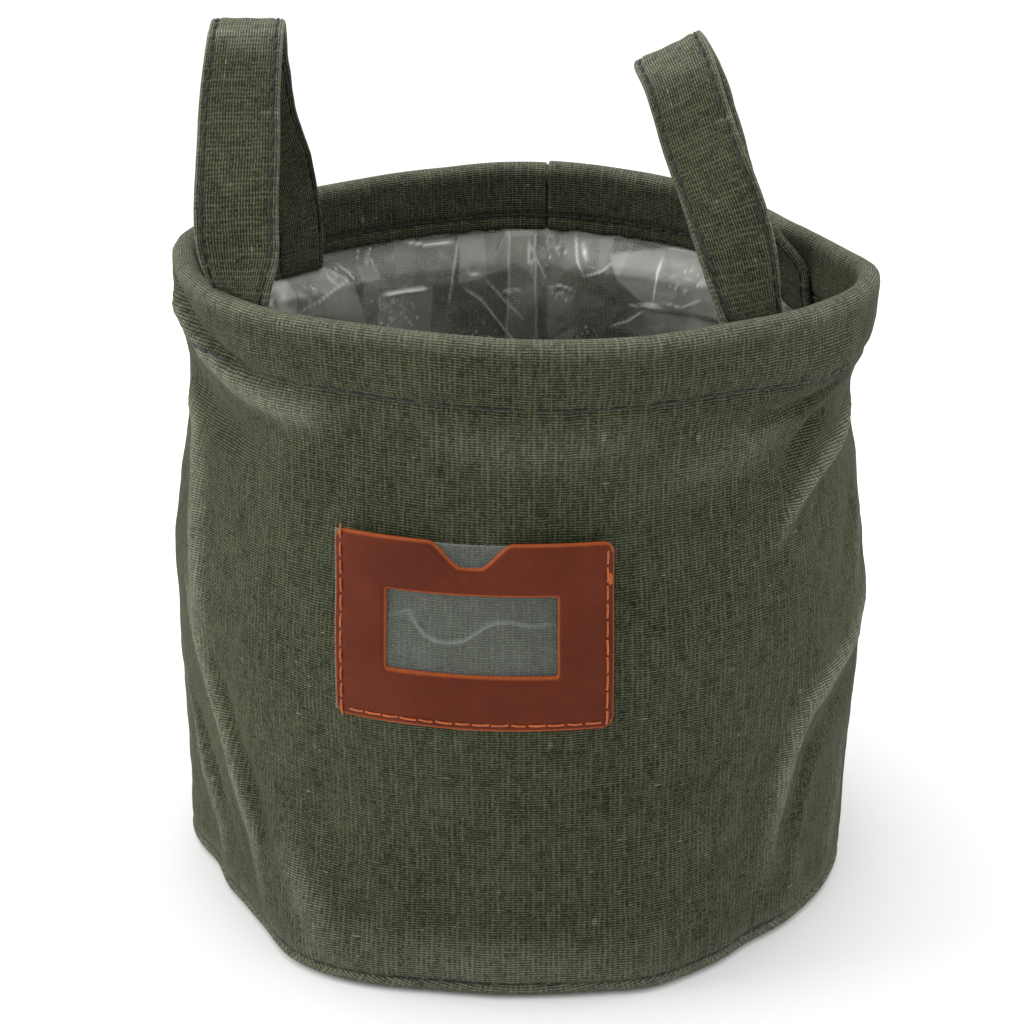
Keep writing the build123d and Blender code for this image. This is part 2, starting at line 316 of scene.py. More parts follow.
label = {
    "width": 0.058, "height": 0.041, "middle": 0.0855, "turn": -7.4, "corner": 0.0022, "thickness": 0.0013,
    "windowWidth": 0.0353, "windowHeight": 0.0175, "windowUp": 0.0005, "windowCorner": 0.0006,
    "notchWidth": 0.0186, "notchDepth": 0.0054, "filmMargin": 0.001, "stitchIn": 0.0014, "seat": 0.00035,
    "bridge": 0.0806, "lean": 0.024, "roundIn": 0.00055, "roundDown": 0.00042, "paleEdge": 0.00034,
    "filmProud": 0.00040,
    # how far past its edge it calms the cloth, and the heights where its top leans out and its foot in
    "calm": (-0.002, 0.009), "topOut": (0.088, 0.108), "footIn": (0.066, 0.090),
    # the film's own fold inside the window, mm right and up from the middle
    "fold": ((-17, 3.4), (-12.8, 5.0), (-11.4, 2.6), (-9.7, 0.4), (-7.4, -0.8), (-4.6, -1.1), (-1.3, -0.4),
             (1.2, 1.4), (3.3, 3.0), (5.4, 3.8), (7.9, 3.9), (10.4, 3.2), (12.6, 2.9), (17, 3.3)),
}


# node helpers: shader and geometry trees
class Sock:
    # one output of a node; arithmetic on it adds Math nodes
    def __init__(self, board, socket):
        self.board, self.socket = board, socket

    def side(self, name):
        return Sock(self.board, self.socket.node.outputs[name])

    def calc(self, operation, *values):
        return self.board.add("ShaderNodeMath", {"operation": operation}, dict(enumerate((self, *values))))

    def __add__(self, other): return self.calc("ADD", other)
    def __sub__(self, other): return self.calc("SUBTRACT", other)
    def __mul__(self, other): return self.calc("MULTIPLY", other)
    def __truediv__(self, other): return self.calc("DIVIDE", other)
    __radd__ = __add__
    __rmul__ = __mul__

    def __rsub__(self, other):
        return self.board.add("ShaderNodeMath", {"operation": "SUBTRACT"}, {0: other, 1: self})

    def between(self, low, high, start=0.0, end=1.0):
        return self.board.add("ShaderNodeMapRange", {"interpolation_type": "SMOOTHSTEP"},
                              {"Value": self, "From Min": low, "From Max": high, "To Min": start, "To Max": end})

    def wave(self):
        # 0 to 1 and back for each whole number
        return (self * wholeTurn).calc("COSINE") * 0.5 + 0.5


class Board:
    def __init__(self, tree):
        self.tree = tree

    def add(self, kind, settings=None, inputs=None):
        node = self.tree.nodes.new(kind)
        for key, value in (settings or {}).items():
            setattr(node, key, value)
        for key, value in (inputs or {}).items():
            socket = node.inputs[key]
            if isinstance(value, Sock):
                self.tree.links.new(value.socket, socket)
            else:
                socket.default_value = value
        return Sock(self, node.outputs[0]) if node.outputs else node

    def noise(self, place, scale, detail=2.0, rough=0.5):
        return self.add("ShaderNodeTexNoise", {},
                        {"Vector": place, "Scale": scale, "Detail": detail, "Roughness": rough})

    def place(self, kind="Object"):
        return self.add("ShaderNodeTexCoord").side(kind)

    def mark(self, name):
        # a value drawn on the mesh
        return self.add("ShaderNodeAttribute", {"attribute_name": name}).side("Fac")

    def relief(self, strength, depth, height):
        return self.add("ShaderNodeBump", {}, {"Strength": strength, "Distance": depth, "Height": height})

    def joined(self, x, y, z=0.0):
        return self.add("ShaderNodeCombineXYZ", {}, {0: x, 1: y, 2: z})

    def tint(self, factor, low, high):
        mixed = self.add("ShaderNodeMix", {"data_type": "RGBA"}, {0: factor, 6: low, 7: high})
        return Sock(self, mixed.socket.node.outputs[2])


def paint(r, g, b):
    # screen colour to the linear values that shaders take
    return tuple(((c / 255 + 0.055) / 1.055) ** 2.4 if c > 10 else c / 255 / 12.92 for c in (r, g, b)) + (1.0,)


def newFinish(name):
    finish = bpy.data.materials.new(name)
    finish.use_nodes = True
    finish.node_tree.nodes.clear()
    return finish, Board(finish.node_tree)


def closeFinish(board, fixed, linked):
    shader = board.add("ShaderNodeBsdfPrincipled", {}, {**fixed, **linked})
    board.add("ShaderNodeOutputMaterial", {}, {"Surface": shader})


canvasLook = {
    "ribPitch": 0.00108, "threadPitch": 0.00057, "wander": 0.00034, "bump": 0.85, "bumpDepth": 0.00032,
    # the pale tint serves both rubbed wear and painted highlight
    "dark": paint(26, 29, 19), "light": paint(99, 104, 79), "wearAndHighlight": paint(150, 154, 134),
    "slub": paint(160, 161, 142), "warm": paint(84, 78, 60),
}


def canvasFinish(name):
    finish, board = newFinish(name)
    place = board.place("UV")
    split = board.add("ShaderNodeSeparateXYZ", {}, {0: place})
    across, along = split.side("X"), split.side("Y")
    driftA = board.noise(place, 260, 3.0, 0.6) - 0.5
    driftB = board.noise(board.joined(along, across, 0.7), 260, 3.0, 0.6) - 0.5
    ribs = (across + driftA * (3.0 * canvasLook["wander"])) / canvasLook["ribPitch"]
    threads = (along + driftB * (1.8 * canvasLook["wander"])) / canvasLook["threadPitch"]
    ribWave, threadWave = ribs.wave(), threads.wave()
    ribIs, threadIs = (ribs + 0.5).calc("FLOOR"), (threads + 0.5).calc("FLOOR")
    # every rib, cross thread and crossing has its own weight, and each fades in and out along its length
    ribOwn = board.noise(board.joined(ribIs * 0.73, along * 150), 1.0, 2.0, 0.6).between(0.28, 0.72)
    threadOwn = board.noise(board.joined(across * 190, threadIs * 0.73), 1.0, 2.0, 0.6).between(0.28, 0.72)
    warps = ribs * 2 + driftB * 0.5
    crossing = board.add("ShaderNodeTexWhiteNoise", {"noise_dimensions": "2D"},
                         {"Vector": board.joined((warps + 0.5).calc("FLOOR"), threadIs)})
    slub = board.noise(board.joined(across * 380, threadIs * 0.71, 7.3), 1.0, 1.0).between(0.74, 0.82)
    slubUp = board.noise(board.joined(ribIs * 0.71, along * 300, 5.3), 1.0, 1.0).between(0.74, 0.82)
    cloud = board.noise(place, 30, 3.0, 0.6)
    warm = board.noise(place, 55, 2.0).between(0.45, 0.75)
    raised = (ribWave * ribOwn * 0.36 + threadWave * (0.08 + threadOwn * 0.24)
              + (warps.wave() * 0.75 + 0.25) * threadWave * (crossing * 0.92 + 0.05))
    # painted shade darkens the low gaps between threads and painted highlight lightens the raised crossings, over
    # each thread's own random tone
    tone = raised * 1.06 + (cloud - 0.5) * 0.34 - 0.06
    body = board.tint(tone, canvasLook["dark"], canvasLook["light"])
    body = board.tint(warm * tone * 0.30, body, canvasLook["warm"])
    # this mark lightens rubbed wear on the raised threads and also paints highlights on the cloth's crests,
    # ridges and the strap crowns
    wearAndHighlight = board.mark("wearAndHighlight")
    body = board.tint(wearAndHighlight * (0.08 + 0.85 * raised) * 0.80, body, canvasLook["wearAndHighlight"])
    body = board.tint((slub + slubUp) * threadWave * 0.42, body, canvasLook["slub"])
    relief = board.relief(canvasLook["bump"], canvasLook["bumpDepth"], raised + slub * 0.5)
    closeFinish(board, {"Specular IOR Level": 0.10, "Sheen Weight": 0.06, "Sheen Roughness": 0.5,
                        "Sheen Tint": (0.70, 0.80, 0.60, 1)},
                {"Base Color": body, "Roughness": 0.92 - raised * 0.08, "Normal": relief})
    return finish


def threadFinish(name, colour, dark):
    finish, board = newFinish(name)
    place = board.place()
    twist = board.noise(place, 2600, 2.0)
    patch = board.noise(place, 160, 2.0)
    body = board.tint((twist * 0.7 + patch * 0.6).between(0.3, 1.0), dark, colour)
    relief = board.relief(0.5, 0.00008, twist)
    closeFinish(board, {"Specular IOR Level": 0.35, "Sheen Weight": 0.15},
                {"Base Color": body, "Roughness": 0.62 + patch * 0.2, "Normal": relief})
    return finish


leatherLook = {"low": paint(77, 29, 13), "high": paint(97, 40, 19), "edge": paint(168, 84, 42)}


def leatherFinish(name):
    finish, board = newFinish(name)
    place = board.place()
    grain = board.add("ShaderNodeTexVoronoi", {"feature": "DISTANCE_TO_EDGE"}, {"Vector": place, "Scale": 1500})
    fine = board.noise(place, 3000, 2.0)
    cloud = board.noise(place, 70, 3.0)
    rub = board.noise(place, 420, 4.0, 0.65)
    edge = board.mark("edge")
    body = board.tint((cloud * 0.75 + rub * 0.45).between(0.25, 0.95), leatherLook["low"], leatherLook["high"])
    body = board.tint(edge.between(0.25, 1.0) * (0.55 + rub * 0.5), body, leatherLook["edge"])
    rough = 0.42 + rub * 0.18 + edge * 0.2
    height = grain.between(0.0, 0.25) * 0.6 + fine * 0.35 + rub * 0.5
    relief = board.relief(0.28, 0.00012, height)
    closeFinish(board, {"Specular IOR Level": 0.13},
                {"Base Color": body, "Roughness": rough + 0.1, "Normal": relief})
    return finish


filmLook = {
    "clear": paint(150, 152, 140), "milky": paint(194, 195, 186), "glint": paint(246, 246, 242),
    "shade": paint(40, 46, 48), "thin": 0.33, "thick": 0.64, "rough": 0.07,
    "pocket": (0.36, 0.39, 0.38, 1), "pocketThin": 0.13, "pocketThick": 0.19, "pocketRough": 0.14,
}


def filmHaze(board, scale):
    place = board.place()
    return board.noise(place, scale, 3.0, 0.6), board.noise(place, 500, 2.0)


def closeFilm(board, body, alpha, rough, strength, haze, fine):
    relief = board.relief(strength, 0.0003, haze * 0.7 + fine * 0.3)
    closeFinish(board, {"Specular IOR Level": 0.6, "IOR": 1.5},
                {"Base Color": body, "Alpha": alpha.calc("MINIMUM", 1.0), "Roughness": rough, "Normal": relief})


def linerFinish(name):
    # the milk mark clouds the film and paints reflection into its bright patches, and the glint mark paints
    # highlights on its sharp folds and specks
    finish, board = newFinish(name)
    haze, fine = filmHaze(board, 120)
    glint = board.mark("glint")
    cloudy = board.mark("milkAndReflection") * (0.70 + haze * 0.60)
    alpha = cloudy * (filmLook["thick"] - filmLook["thin"]) + filmLook["thin"] + glint * 0.62
    body = board.tint(cloudy.calc("MINIMUM", 1.0), filmLook["clear"], filmLook["milky"])
    body = board.tint(glint.calc("MINIMUM", 1.0), body, filmLook["glint"])
    closeFilm(board, body, alpha, filmLook["rough"] + fine * 0.08, 0.22, haze, fine)
    return finish


def pocketFinish(name):
    # the glint mark paints highlights on its cut edges and fold, and the fold mark paints shade as the dark line
    # beside it
    finish, board = newFinish(name)
    haze, fine = filmHaze(board, 90)
    glint, fold = board.mark("glint"), board.mark("fold")
    cloudy = haze.between(0.35, 0.75) * (filmLook["pocketThick"] - filmLook["pocketThin"])
    alpha = filmLook["pocketThin"] + cloudy + glint * 0.4 + fold * 0.7
    body = board.tint(fold, board.tint(glint, filmLook["pocket"], filmLook["glint"]), filmLook["shade"])
    closeFilm(board, body, alpha, filmLook["pocketRough"] + fine * 0.08 + fold * 0.6, 0.10, haze, fine)
    return finish


canvas = canvasFinish("greenCanvas")
# the dark green thread's colour is deepened with painted shade that stands for the shadow in its stitch holes
shadedGreenThread = threadFinish("shadedGreenThread", paint(30, 34, 23), paint(11, 13, 9))
orangeThread = threadFinish("orangeThread", paint(202, 104, 44), paint(138, 62, 24))
leather = leatherFinish("tanLeather")
linerFilm = linerFinish("linerFilm")
pocketFilm = pocketFinish("pocketFilm")
print("finishes made")


def finishPiece(piece, material, body="bag", nodes=()):
    piece.data.materials.clear()
    piece.data.materials.append(material)
    if body:
        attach(piece, body)
    if nodes:
        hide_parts(*nodes)
    return piece


# canvas wall with its rolled hem, one continuous cloth
wallMake = {
    "columns": 372, "outerRows": 104, "rollRows": 11, "plyRows": 22, "innerRows": 44,
    # the butted seam at the back in degrees, and the extra columns each side of it in mm
    "seam": 174.6, "seamSteps": (0.2, 0.4, 0.6, 0.8, 1.0, 1.7, 2.1),
    # heights between which the seam sinks into the crest
    "crestBand": (0.1415, 0.1455), "lowest": 0.0028,
}


def wallProfile():
    roll = bag["hemRoll"] / 2
    seat = bag["crest"] - roll
    low = bag["stations"][0][0]
    z = np.linspace(low, seat, wallMake["outerRows"])
    rows = list(zip(wallRadius(z), z))
    for turn in np.linspace(0, np.pi, wallMake["rollRows"] + 2)[1:-1]:
        rows.append((bag["rim"] - roll + roll * math.cos(turn), seat + roll * math.sin(turn)))
    for z in np.linspace(seat, bag["hemBottom"] + 0.0006, wallMake["plyRows"]):
        rows.append((bag["hemInner"], z))
    rows.append((bag["hemInner"] + 0.0003, bag["hemBottom"]))
    rows.append((bag["hemInner"] + 0.0009, bag["hemBottom"] - 0.0001))
    for z in np.linspace(bag["hemBottom"] - 0.0004, low, wallMake["innerRows"]):
        rows.append((float(wallRadius(z)) - bag["canvas"], z))
    return np.array(rows)


def buildWall():
    rows = wallProfile()
    count = np.arange(len(rows))[:, None]
    seam = math.radians(wallMake["seam"])
    steps = np.array(wallMake["seamSteps"]) * mm / girth
    turns = np.concatenate([np.arange(wallMake["columns"]) * wholeTurn / wallMake["columns"],
                            steps, wholeTurn - steps])
    azimuth = seam + np.unique(turns.round(7))
    A, R = np.meshgrid(azimuth, rows[:, 0])
    Z = np.repeat(rows[:, 1:], len(azimuth), 1)
    # the hem's stitch line sinks in, with small puckers each side of it; the foot tucks into its seam
    above = Z - bag["stitchLine"]
    sink = -0.85 * bell(above, 0.0009) + 0.35 * bell(above - 0.0042, 0.0026)
    pucker = 0.16 * np.sin(A * 61 + 2.2 * np.sin(A * 7)) * bell(above, 0.0045)
    outside = count < wallMake["outerRows"] + wallMake["rollRows"] // 2
    extra = (sink + pucker) * outside - 0.75 * bell(Z - 0.003, 0.0011)
    # the inner ply has its own stitch line, ragged foot and butted seam, one side a little prouder
    inside = (count >= wallMake["outerRows"] + 4) & (Z > bag["hemBottom"] - 0.001)
    apart = turnFrom(A, seam) * girth / mm
    butt = bell(apart, 0.34)
    crest = ease(Z, *wallMake["crestBand"])
    extra = extra + inside * (0.75 * bell(above - 0.0008, 0.0008) + 0.95 * butt * (1 - crest)
                              + 0.25 * np.tanh(apart / 0.4) * bell(apart, 5))
    points = onBag(A, R, Z, extra)
    points[..., 2] += mm * crest * (-0.9 * butt - 0.30 * np.tanh(apart / 0.3) * bell(apart, 16))
    ragged = 0.20 * np.sin(A * 47 + 3 * np.sin(A * 9) + 2 * np.sin(A * 23))
    points[..., 2] += mm * ragged * bell(Z - bag["hemBottom"], 0.0016) * inside
    small = wobble(points, 210, 0.00020, 3) + wobble(points, 75, 0.00042, 5)
    keep = (1 - 0.85 * labelCalm(A, Z)) * (1 - 0.5 * (Z > 0.1475))
    points = points + outwardAt(A) * (small * keep)[..., None]
    points[..., 2] = np.maximum(points[..., 2], wallMake["lowest"])
    # the crease ridges, the crest and the foot are made paler: partly rubbed wear, partly painted highlight where
    # the light falls on them
    wearAndHighlight = np.clip(creaseField(A, Z) * 0.7, 0, 1) + 0.8 * ease(Z, 0.1435, 0.1478) + 0.35 * bell(Z - 0.004, 0.003)
    return gridMesh("canvasWall", points, azimuth * girth, runAlong(rows), closedU=True, closedV=True,
                    marks={"wearAndHighlight": wearAndHighlight}, uSpan=wholeTurn * girth, vSpan=0.001)


canvasWall = finishPiece(buildWall(), canvas, nodes=("wall_panel", "hem_band"))
print("wall made", len(canvasWall.data.vertices))


# round base, its turned edge rolls out under the wall's seam
baseMake = {
    # the turned edge from the seam down to the floor: radius, height
    "edge": ((0.0775, 0.0036), (0.0783, 0.0031), (0.0789, 0.0025), (0.0790, 0.0018), (0.0786, 0.0010),
             (0.0778, 0.0004)),
    # rows of the underside and of the inside: first radius, last radius, how many
    "below": (0.0765, 0.004, 26), "above": (0.004, 0.0735, 22), "thick": 0.0011,
    # where the inside comes back up to the seam
    "back": ((0.0755, 0.0013), (0.0766, 0.0024)),
    "radius": 0.079, "seamHeight": 0.003,
}


def buildBase():
    edge, thick = list(baseMake["edge"]), baseMake["thick"]
    below = [(r, 0.0) for r in np.linspace(*baseMake["below"])]
    above = [(r, thick) for r in np.linspace(*baseMake["above"])]
    rows = np.array(edge + below + above + list(baseMake["back"]))
    columns, count = wallMake["columns"], len(rows)
    A, R = np.meshgrid(-np.arange(columns) * wholeTurn / columns, rows[:, 0])
    Z = np.repeat(rows[:, 1:], columns, 1)
    r = R + bagShift(A, np.zeros_like(Z) + baseMake["seamHeight"])[0] * (R / baseMake["radius"]) ** 3
    points = np.stack([r * np.sin(A), -r * np.cos(A), Z], -1)
    lift = np.abs(wobble(points, 60, 0.0005, 9)) * ease(R, 0.080, 0.070)
    points[..., 2] += lift
    flatPoints = [tuple(p) for p in points.reshape(-1, 3)]
    # the grid is open between the underside and the inside, where a fan closes each
    half = len(edge) + len(below)
    faces = []
    for j in range(count):
        if j != half - 1:
            jn = (j + 1) % count
            for i in range(columns):
                iN = (i + 1) % columns
                faces.append((j * columns + i, jn * columns + i, jn * columns + iN, j * columns + iN))
    for row, z, turned in ((half - 1, 0.0, False), (half, thick, True)):
        faces += fan([row * columns + i for i in range(columns)], len(flatPoints), turned)
        flatPoints.append((0.0, 0.0, z + float(lift[row].mean())))
    # the weave runs flat over the base and on up its turned edge
    turned = runAlong(rows[:len(edge)][::-1])[::-1] + edge[-1][0]
    reachOf = np.concatenate([turned, rows[len(edge):, 0], [0, 0]])
    uv = []
    for face in faces:
        for k in face:
            x, y = flatPoints[k][:2]
            reach = reachOf[k // columns if k < count * columns else -1]
            scale = reach / max(math.hypot(x, y), 1e-6)
            uv.append((x * scale, y * scale))
    # the turned edge is made paler
    wearAndHighlight = np.concatenate([(0.7 * ease(R, 0.0760, 0.0785)).ravel(), [0, 0]])
    return makeMesh("canvasBase", flatPoints, faces, uv, {"wearAndHighlight": wearAndHighlight})


canvasBase = finishPiece(buildBase(), canvas, nodes=("base_panel",))
print("base made")


# inside seams: the back seam's pressed flap and the base's turned-up edge
flap = {"left": -0.0023, "right": 0.0075, "thick": 0.0016, "across": 11, "heights": (0.0095, 0.1286, 80),
        "stitchIn": 0.0016, "stitchHeights": (0.012, 0.128, 120)}


def buildSeamFlap():
    heights, across = np.linspace(*flap["heights"]), flap["across"]
    middle = (flap["left"] + flap["right"]) / 2
    half = (flap["right"] - flap["left"]) / 2
    s = np.concatenate([np.linspace(-half, half, across), np.linspace(half, -half, across)])
    # depth from the wall: two sides with their corners rounded off
    d = np.repeat([0.0, -flap["thick"]], across)
    d[[0, across - 1]] = -0.0004
    d[[across, -1]] = 0.0004 - flap["thick"]
    ply = np.where(np.abs(s) > 0.0035, 0.35, 1.0)
    points = np.zeros((len(heights), len(s), 3))
    for j, z in enumerate(heights):
        sway = 0.0004 * math.sin(z * 95) + 0.0002 * math.sin(z * 260 + 1)
        azimuth = np.pi - (middle + s + sway) / girth
        inner = wallRadius(z) - bag["canvas"] - 0.0002
        points[j] = onBag(azimuth, np.full(len(s), inner), np.full(len(s), z))
        points[j] += outwardAt(azimuth) * (d * ply + 0.0001 * np.sin(z * 180 + s * 900))[:, None]
    return gridMesh("backSeamFlap", points[:, ::-1], s, heights, closedU=True, caps=(0, len(heights) - 1))


def buildBaseFlap():
    outer = bag["stations"][0][1] - bag["canvas"] - 0.0003
    rows = np.array([(outer, 0.0033), (outer, 0.0100), (outer - 0.0004, 0.0104), (outer - 0.0012, 0.0102),
                     (outer - 0.0016, 0.0097), (outer - 0.0017, 0.0040), (outer - 0.0012, 0.0033)])
    columns = 300
    A, R = np.meshgrid(np.arange(columns) * wholeTurn / columns, rows[:, 0])
    Z = np.repeat(rows[:, 1:], columns, 1)
    points = onBag(A, R, Z)
    points[..., 2] += 0.0007 * np.sin(A * 23 + np.sin(A * 5)) * (Z > 0.009)
    return gridMesh("baseSeamFlap", points, A[0] * girth, runAlong(rows), closedU=True, closedV=True,
                    uSpan=wholeTurn * girth, vSpan=0.001)


seamFlap = finishPiece(buildSeamFlap(), canvas, nodes=("back_seam_allowance",))
baseFlap = finishPiece(buildBaseFlap(), canvas, nodes=("base_seam_allowance",))


# clear film liner, crumpled flat by flat
liner = {
    # columns in degrees: close ones from, to and step at the back, where the film shows, and coarse ones
    "fine": (127, 233, 0.25), "coarse": 1.6, "fineLow": 0.094, "fineRows": 92, "lowRows": 40, "bottomRows": 18,
    "offset": 0.0028, "seed": 5, "caught": 0.004, "foldDepth": 0.0007,
    # heights between which it goes from hanging free to lying under the hem
    "hangBand": (0.1225, 0.1315), "flapShift": (0.0065, 0.0008),
    # the bottom: lowest height, crumple size and height, half width of its grid, points across
    "floor": 0.0019, "floorLift": 0.0035, "floorSize": 0.016, "floorHalf": 0.09, "floorPoints": 90,
    # (facet size, depth of the crumple, how milky its facets get), coarse to fine
    "crumples": ((0.020, 0.0056, 0.30), (0.0100, 0.0021, 0.16), (0.0048, 0.0006, 0.07)),
    # milky areas, partly the film's own cloudiness and partly painted reflection: how milky, then corners in
    # (degrees, height mm)
    "patches": (
        (0.55, ((-122, 129), (-138, 128), (-143, 123.5), (-146, 111), (-122, 110))),
        (0.28, ((-145, 127), (-150, 126), (-149, 110), (-145, 110))),
        (0.42, ((-149, 119), (-162, 118), (-161, 104), (-148, 105))),
        (0.22, ((-138, 133), (-168, 132), (-165, 118), (-150, 120), (-139, 127))),
        (0.62, ((-168, 130), (-178, 130.5), (-178, 122), (-172, 119.5), (-167, 119))),
        (0.40, ((-178, 131), (177, 131), (176, 98), (-177, 98))),
        (0.32, ((174, 118), (168, 116.5), (167, 111), (174, 103))),
        (0.80, ((161, 127), (148, 130.5), (126, 131), (128, 116), (151, 115), (158, 121))),
        (0.50, ((161, 109), (152, 114.5), (130, 114), (130, 100), (145, 104))),
        (0.26, ((175, 131), (161, 131), (160, 122), (168, 121), (174, 124))),
        (-0.30, ((-167, 118), (-177, 117.5), (-177, 100), (-164, 100))),
        (-0.22, ((168, 113), (160, 114), (160, 104), (168, 102))),
    ),
    # painted highlights on sharp folds: strength, width mm, then points in (degrees, height mm)
    "glints": (
        (0.90, 0.40, ((-157, 130), (-161, 128.8), (-167, 128.7))),
        (1.00, 0.75, ((-150, 118.4), (-155, 118.6), (-161, 118.2))),
        (0.55, 0.35, ((-168, 129.5), (-166, 122), (-165, 113))),
        (0.65, 0.28, ((-168, 117.6), (-172, 114), (-175, 109), (-180, 101))),
        (0.70, 0.35, ((-169, 122.3), (-169.5, 120.8), (-172, 120.4))),
        (0.75, 0.32, ((169, 130), (168, 125.5), (166, 121))),
        (0.80, 0.32, ((166, 121), (162, 123), (160, 125.2))),
        (0.95, 0.50, ((150, 127.5), (149.3, 123), (150, 117))),
        (0.75, 0.36, ((173.5, 117.8), (171, 118.3), (168, 117))),
        (0.60, 0.30, ((160, 108.8), (156, 110.6), (152, 114.4))),
        (0.40, 0.28, ((-138, 127.4), (-142, 124.4), (-127, 119))),
        (0.50, 0.26, ((-173, 119), (-177, 113.5), (179, 109))),
        (0.45, 0.28, ((178, 129), (178, 123.7), (176, 123.5))),
        (0.55, 0.32, ((148, 117.5), (144, 116.3), (139, 119.7))),
        (1.00, 0.95, ((167.2, 128), (165.8, 125.2))),
        (0.45, 0.26, ((178, 128), (174, 119.5))),
        (0.55, 0.30, ((-141, 128), (-143, 125.5), (-143.5, 123))),
        (0.38, 0.34, ((-178, 131), (-177.6, 116), (-177, 99))),
        (0.42, 0.34, ((176.8, 131), (176.4, 116), (176, 99))),
    ),
    # clusters of painted highlight specks: degrees, height mm, spread mm, how many
    "specks": ((-148, 128, 2.0, 12), (-152, 116.5, 2.6, 22), (-151, 112.5, 3.0, 16), (172, 126, 2.4, 16),
               (171, 116.5, 2.0, 12), (-172, 105, 3.0, 16), (166, 106, 2.2, 12), (-157, 112, 3.0, 14),
               (144, 121, 2.0, 8), (-138, 125, 2.0, 8), (140, 126, 3.0, 10), (-130, 124, 3.0, 8)),
}


def facets(u, v, width, tall, size, seed, wrap):
    # straight flats between random points: height and a tone for each flat, 0 to 1, over the grid u by v
    dice = np.random.default_rng(seed)
    across, up = max(3, round(width / size)), max(2, round(tall / size))
    spots = [((i + dice.uniform(-0.1, 1.1)) * width / across, (j + dice.uniform(-0.1, 1.1)) * tall / up)
             for i in range(across) for j in range(-1, up + 1)]
    high = dice.uniform(0, 1, len(spots)) ** 1.2
    if wrap:
        spots = spots + [(x - width, y) for x, y in spots] + [(x + width, y) for x, y in spots]
        high = np.concatenate([high] * 3)
    spots += [(-width * 1.2, -tall), (width * 2.2, -tall), (width * 2.2, tall * 2), (-width * 1.2, tall * 2)]
    high = np.concatenate([high, [0.5] * 4])
    done = geometry.delaunay_2d_cdt([Vector(p) for p in spots], [], [], 0, 1e-7)
    places, triangles, source = done[0], done[2], done[3]
    level, tone = np.zeros((len(v), len(u))), np.zeros((len(v), len(u)))
    for corners in triangles:
        (ax, ay), (bx, by), (cx, cy) = (places[k] for k in corners)
        i0, i1 = np.searchsorted(u, [min(ax, bx, cx), max(ax, bx, cx)])
        j0, j1 = np.searchsorted(v, [min(ay, by, cy), max(ay, by, cy)])
        i1, j1 = min(i1 + 1, len(u)), min(j1 + 1, len(v))
        if i0 >= i1 or j0 >= j1:
            continue
        area = (bx - ax) * (cy - ay) - (cx - ax) * (by - ay)
        if abs(area) < 1e-12:
            continue
        X, Y = np.meshgrid(u[i0:i1], v[j0:j1])
        wb = ((X - ax) * (cy - ay) - (cx - ax) * (Y - ay)) / area
        wc = ((bx - ax) * (Y - ay) - (X - ax) * (by - ay)) / area
        wa = 1 - wb - wc
        inside = (wa >= -1e-6) & (wb >= -1e-6) & (wc >= -1e-6)
        heights = [high[source[k][0]] if source[k] else 0.5 for k in corners]
        level[j0:j1, i0:i1][inside] = (wa * heights[0] + wb * heights[1] + wc * heights[2])[inside]
        tone[j0:j1, i0:i1][inside] = dice.uniform()
    return level, tone


def backArc(degrees):
    # mm round the film from the middle of the back
    return (degrees % 360 - 180) * math.pi / 180 * 75


def filmMarks(A, Z):
    s, h = backArc(np.degrees(A)), Z / mm
    milkAndReflection, glint = np.zeros_like(s), np.zeros_like(s)
    for value, corners in liner["patches"]:
        outline = [(backArc(a), z) for a, z in corners]
        inside = np.where(insideOutline(s, h, outline), 1.0, -1.0)
        milkAndReflection += value * ease(inside * edgeDistance(s, h, [outline], 99), -0.5, 0.7)
    for strength, width, line in liner["glints"]:
        points = [(backArc(a), z) for a, z in line]
        gap = edgeDistance(s, h, [points], 99, closed=False)
        ends = np.minimum(*(np.hypot(s - x, h - z) for x, z in (points[0], points[-1])))
        glint = np.maximum(glint, strength * bell(gap / width, 0.62) * (0.3 + 0.7 * ease(ends, 0, 2.5)))
    dice = np.random.default_rng(liner["seed"])
    for degrees, height, reach, count in liner["specks"]:
        for x, y in dice.normal((backArc(degrees), height), (reach, reach * 0.5), (count, 2)):
            bright = dice.uniform(0.4, 1.0)
            gap = (s - x) ** 2 + (h - y) ** 2
            glint = np.maximum(glint, bright * np.exp(-gap / dice.uniform(0.02, 0.07)))
    return milkAndReflection, glint


def bentBy(depth):
    # how sharply a grid of depths bends at each point
    bend = np.zeros_like(depth)
    middle = 2 * depth[1:-1, 1:-1]
    bend[1:-1, 1:-1] = (np.abs(depth[1:-1, 2:] + depth[1:-1, :-2] - middle)
                        + np.abs(depth[2:, 1:-1] + depth[:-2, 1:-1] - middle))
    return bend


def linerBottom(rim):
    # the side's last row drawn in to the middle over shallow crumples
    share = np.linspace(1, 0.02, liner["bottomRows"] + 1)[1:, None]
    bottom = rim[None] * np.array([1, 1, 0]) * share[..., None]
    half, count = liner["floorHalf"], liner["floorPoints"]
    grid = np.linspace(0, 2 * half, count)
    dome = facets(grid, grid, 2 * half, 2 * half, liner["floorSize"], 21, False)[0]
    place = (bottom[..., :2] + half) / (2 * half) * (count - 1)
    cell = np.clip(place.astype(int), 0, count - 2)
    (ix, iy), (fx, fy) = np.moveaxis(cell, -1, 0), np.moveaxis(place - cell, -1, 0)
    soft = (dome[iy, ix] * (1 - fx) * (1 - fy) + dome[iy, ix + 1] * fx * (1 - fy)
            + dome[iy + 1, ix] * (1 - fx) * fy + dome[iy + 1, ix + 1] * fx * fy)
    bottom[..., 2] = liner["floor"] + soft * liner["floorLift"] * (1 - share ** 6)
    return bottom


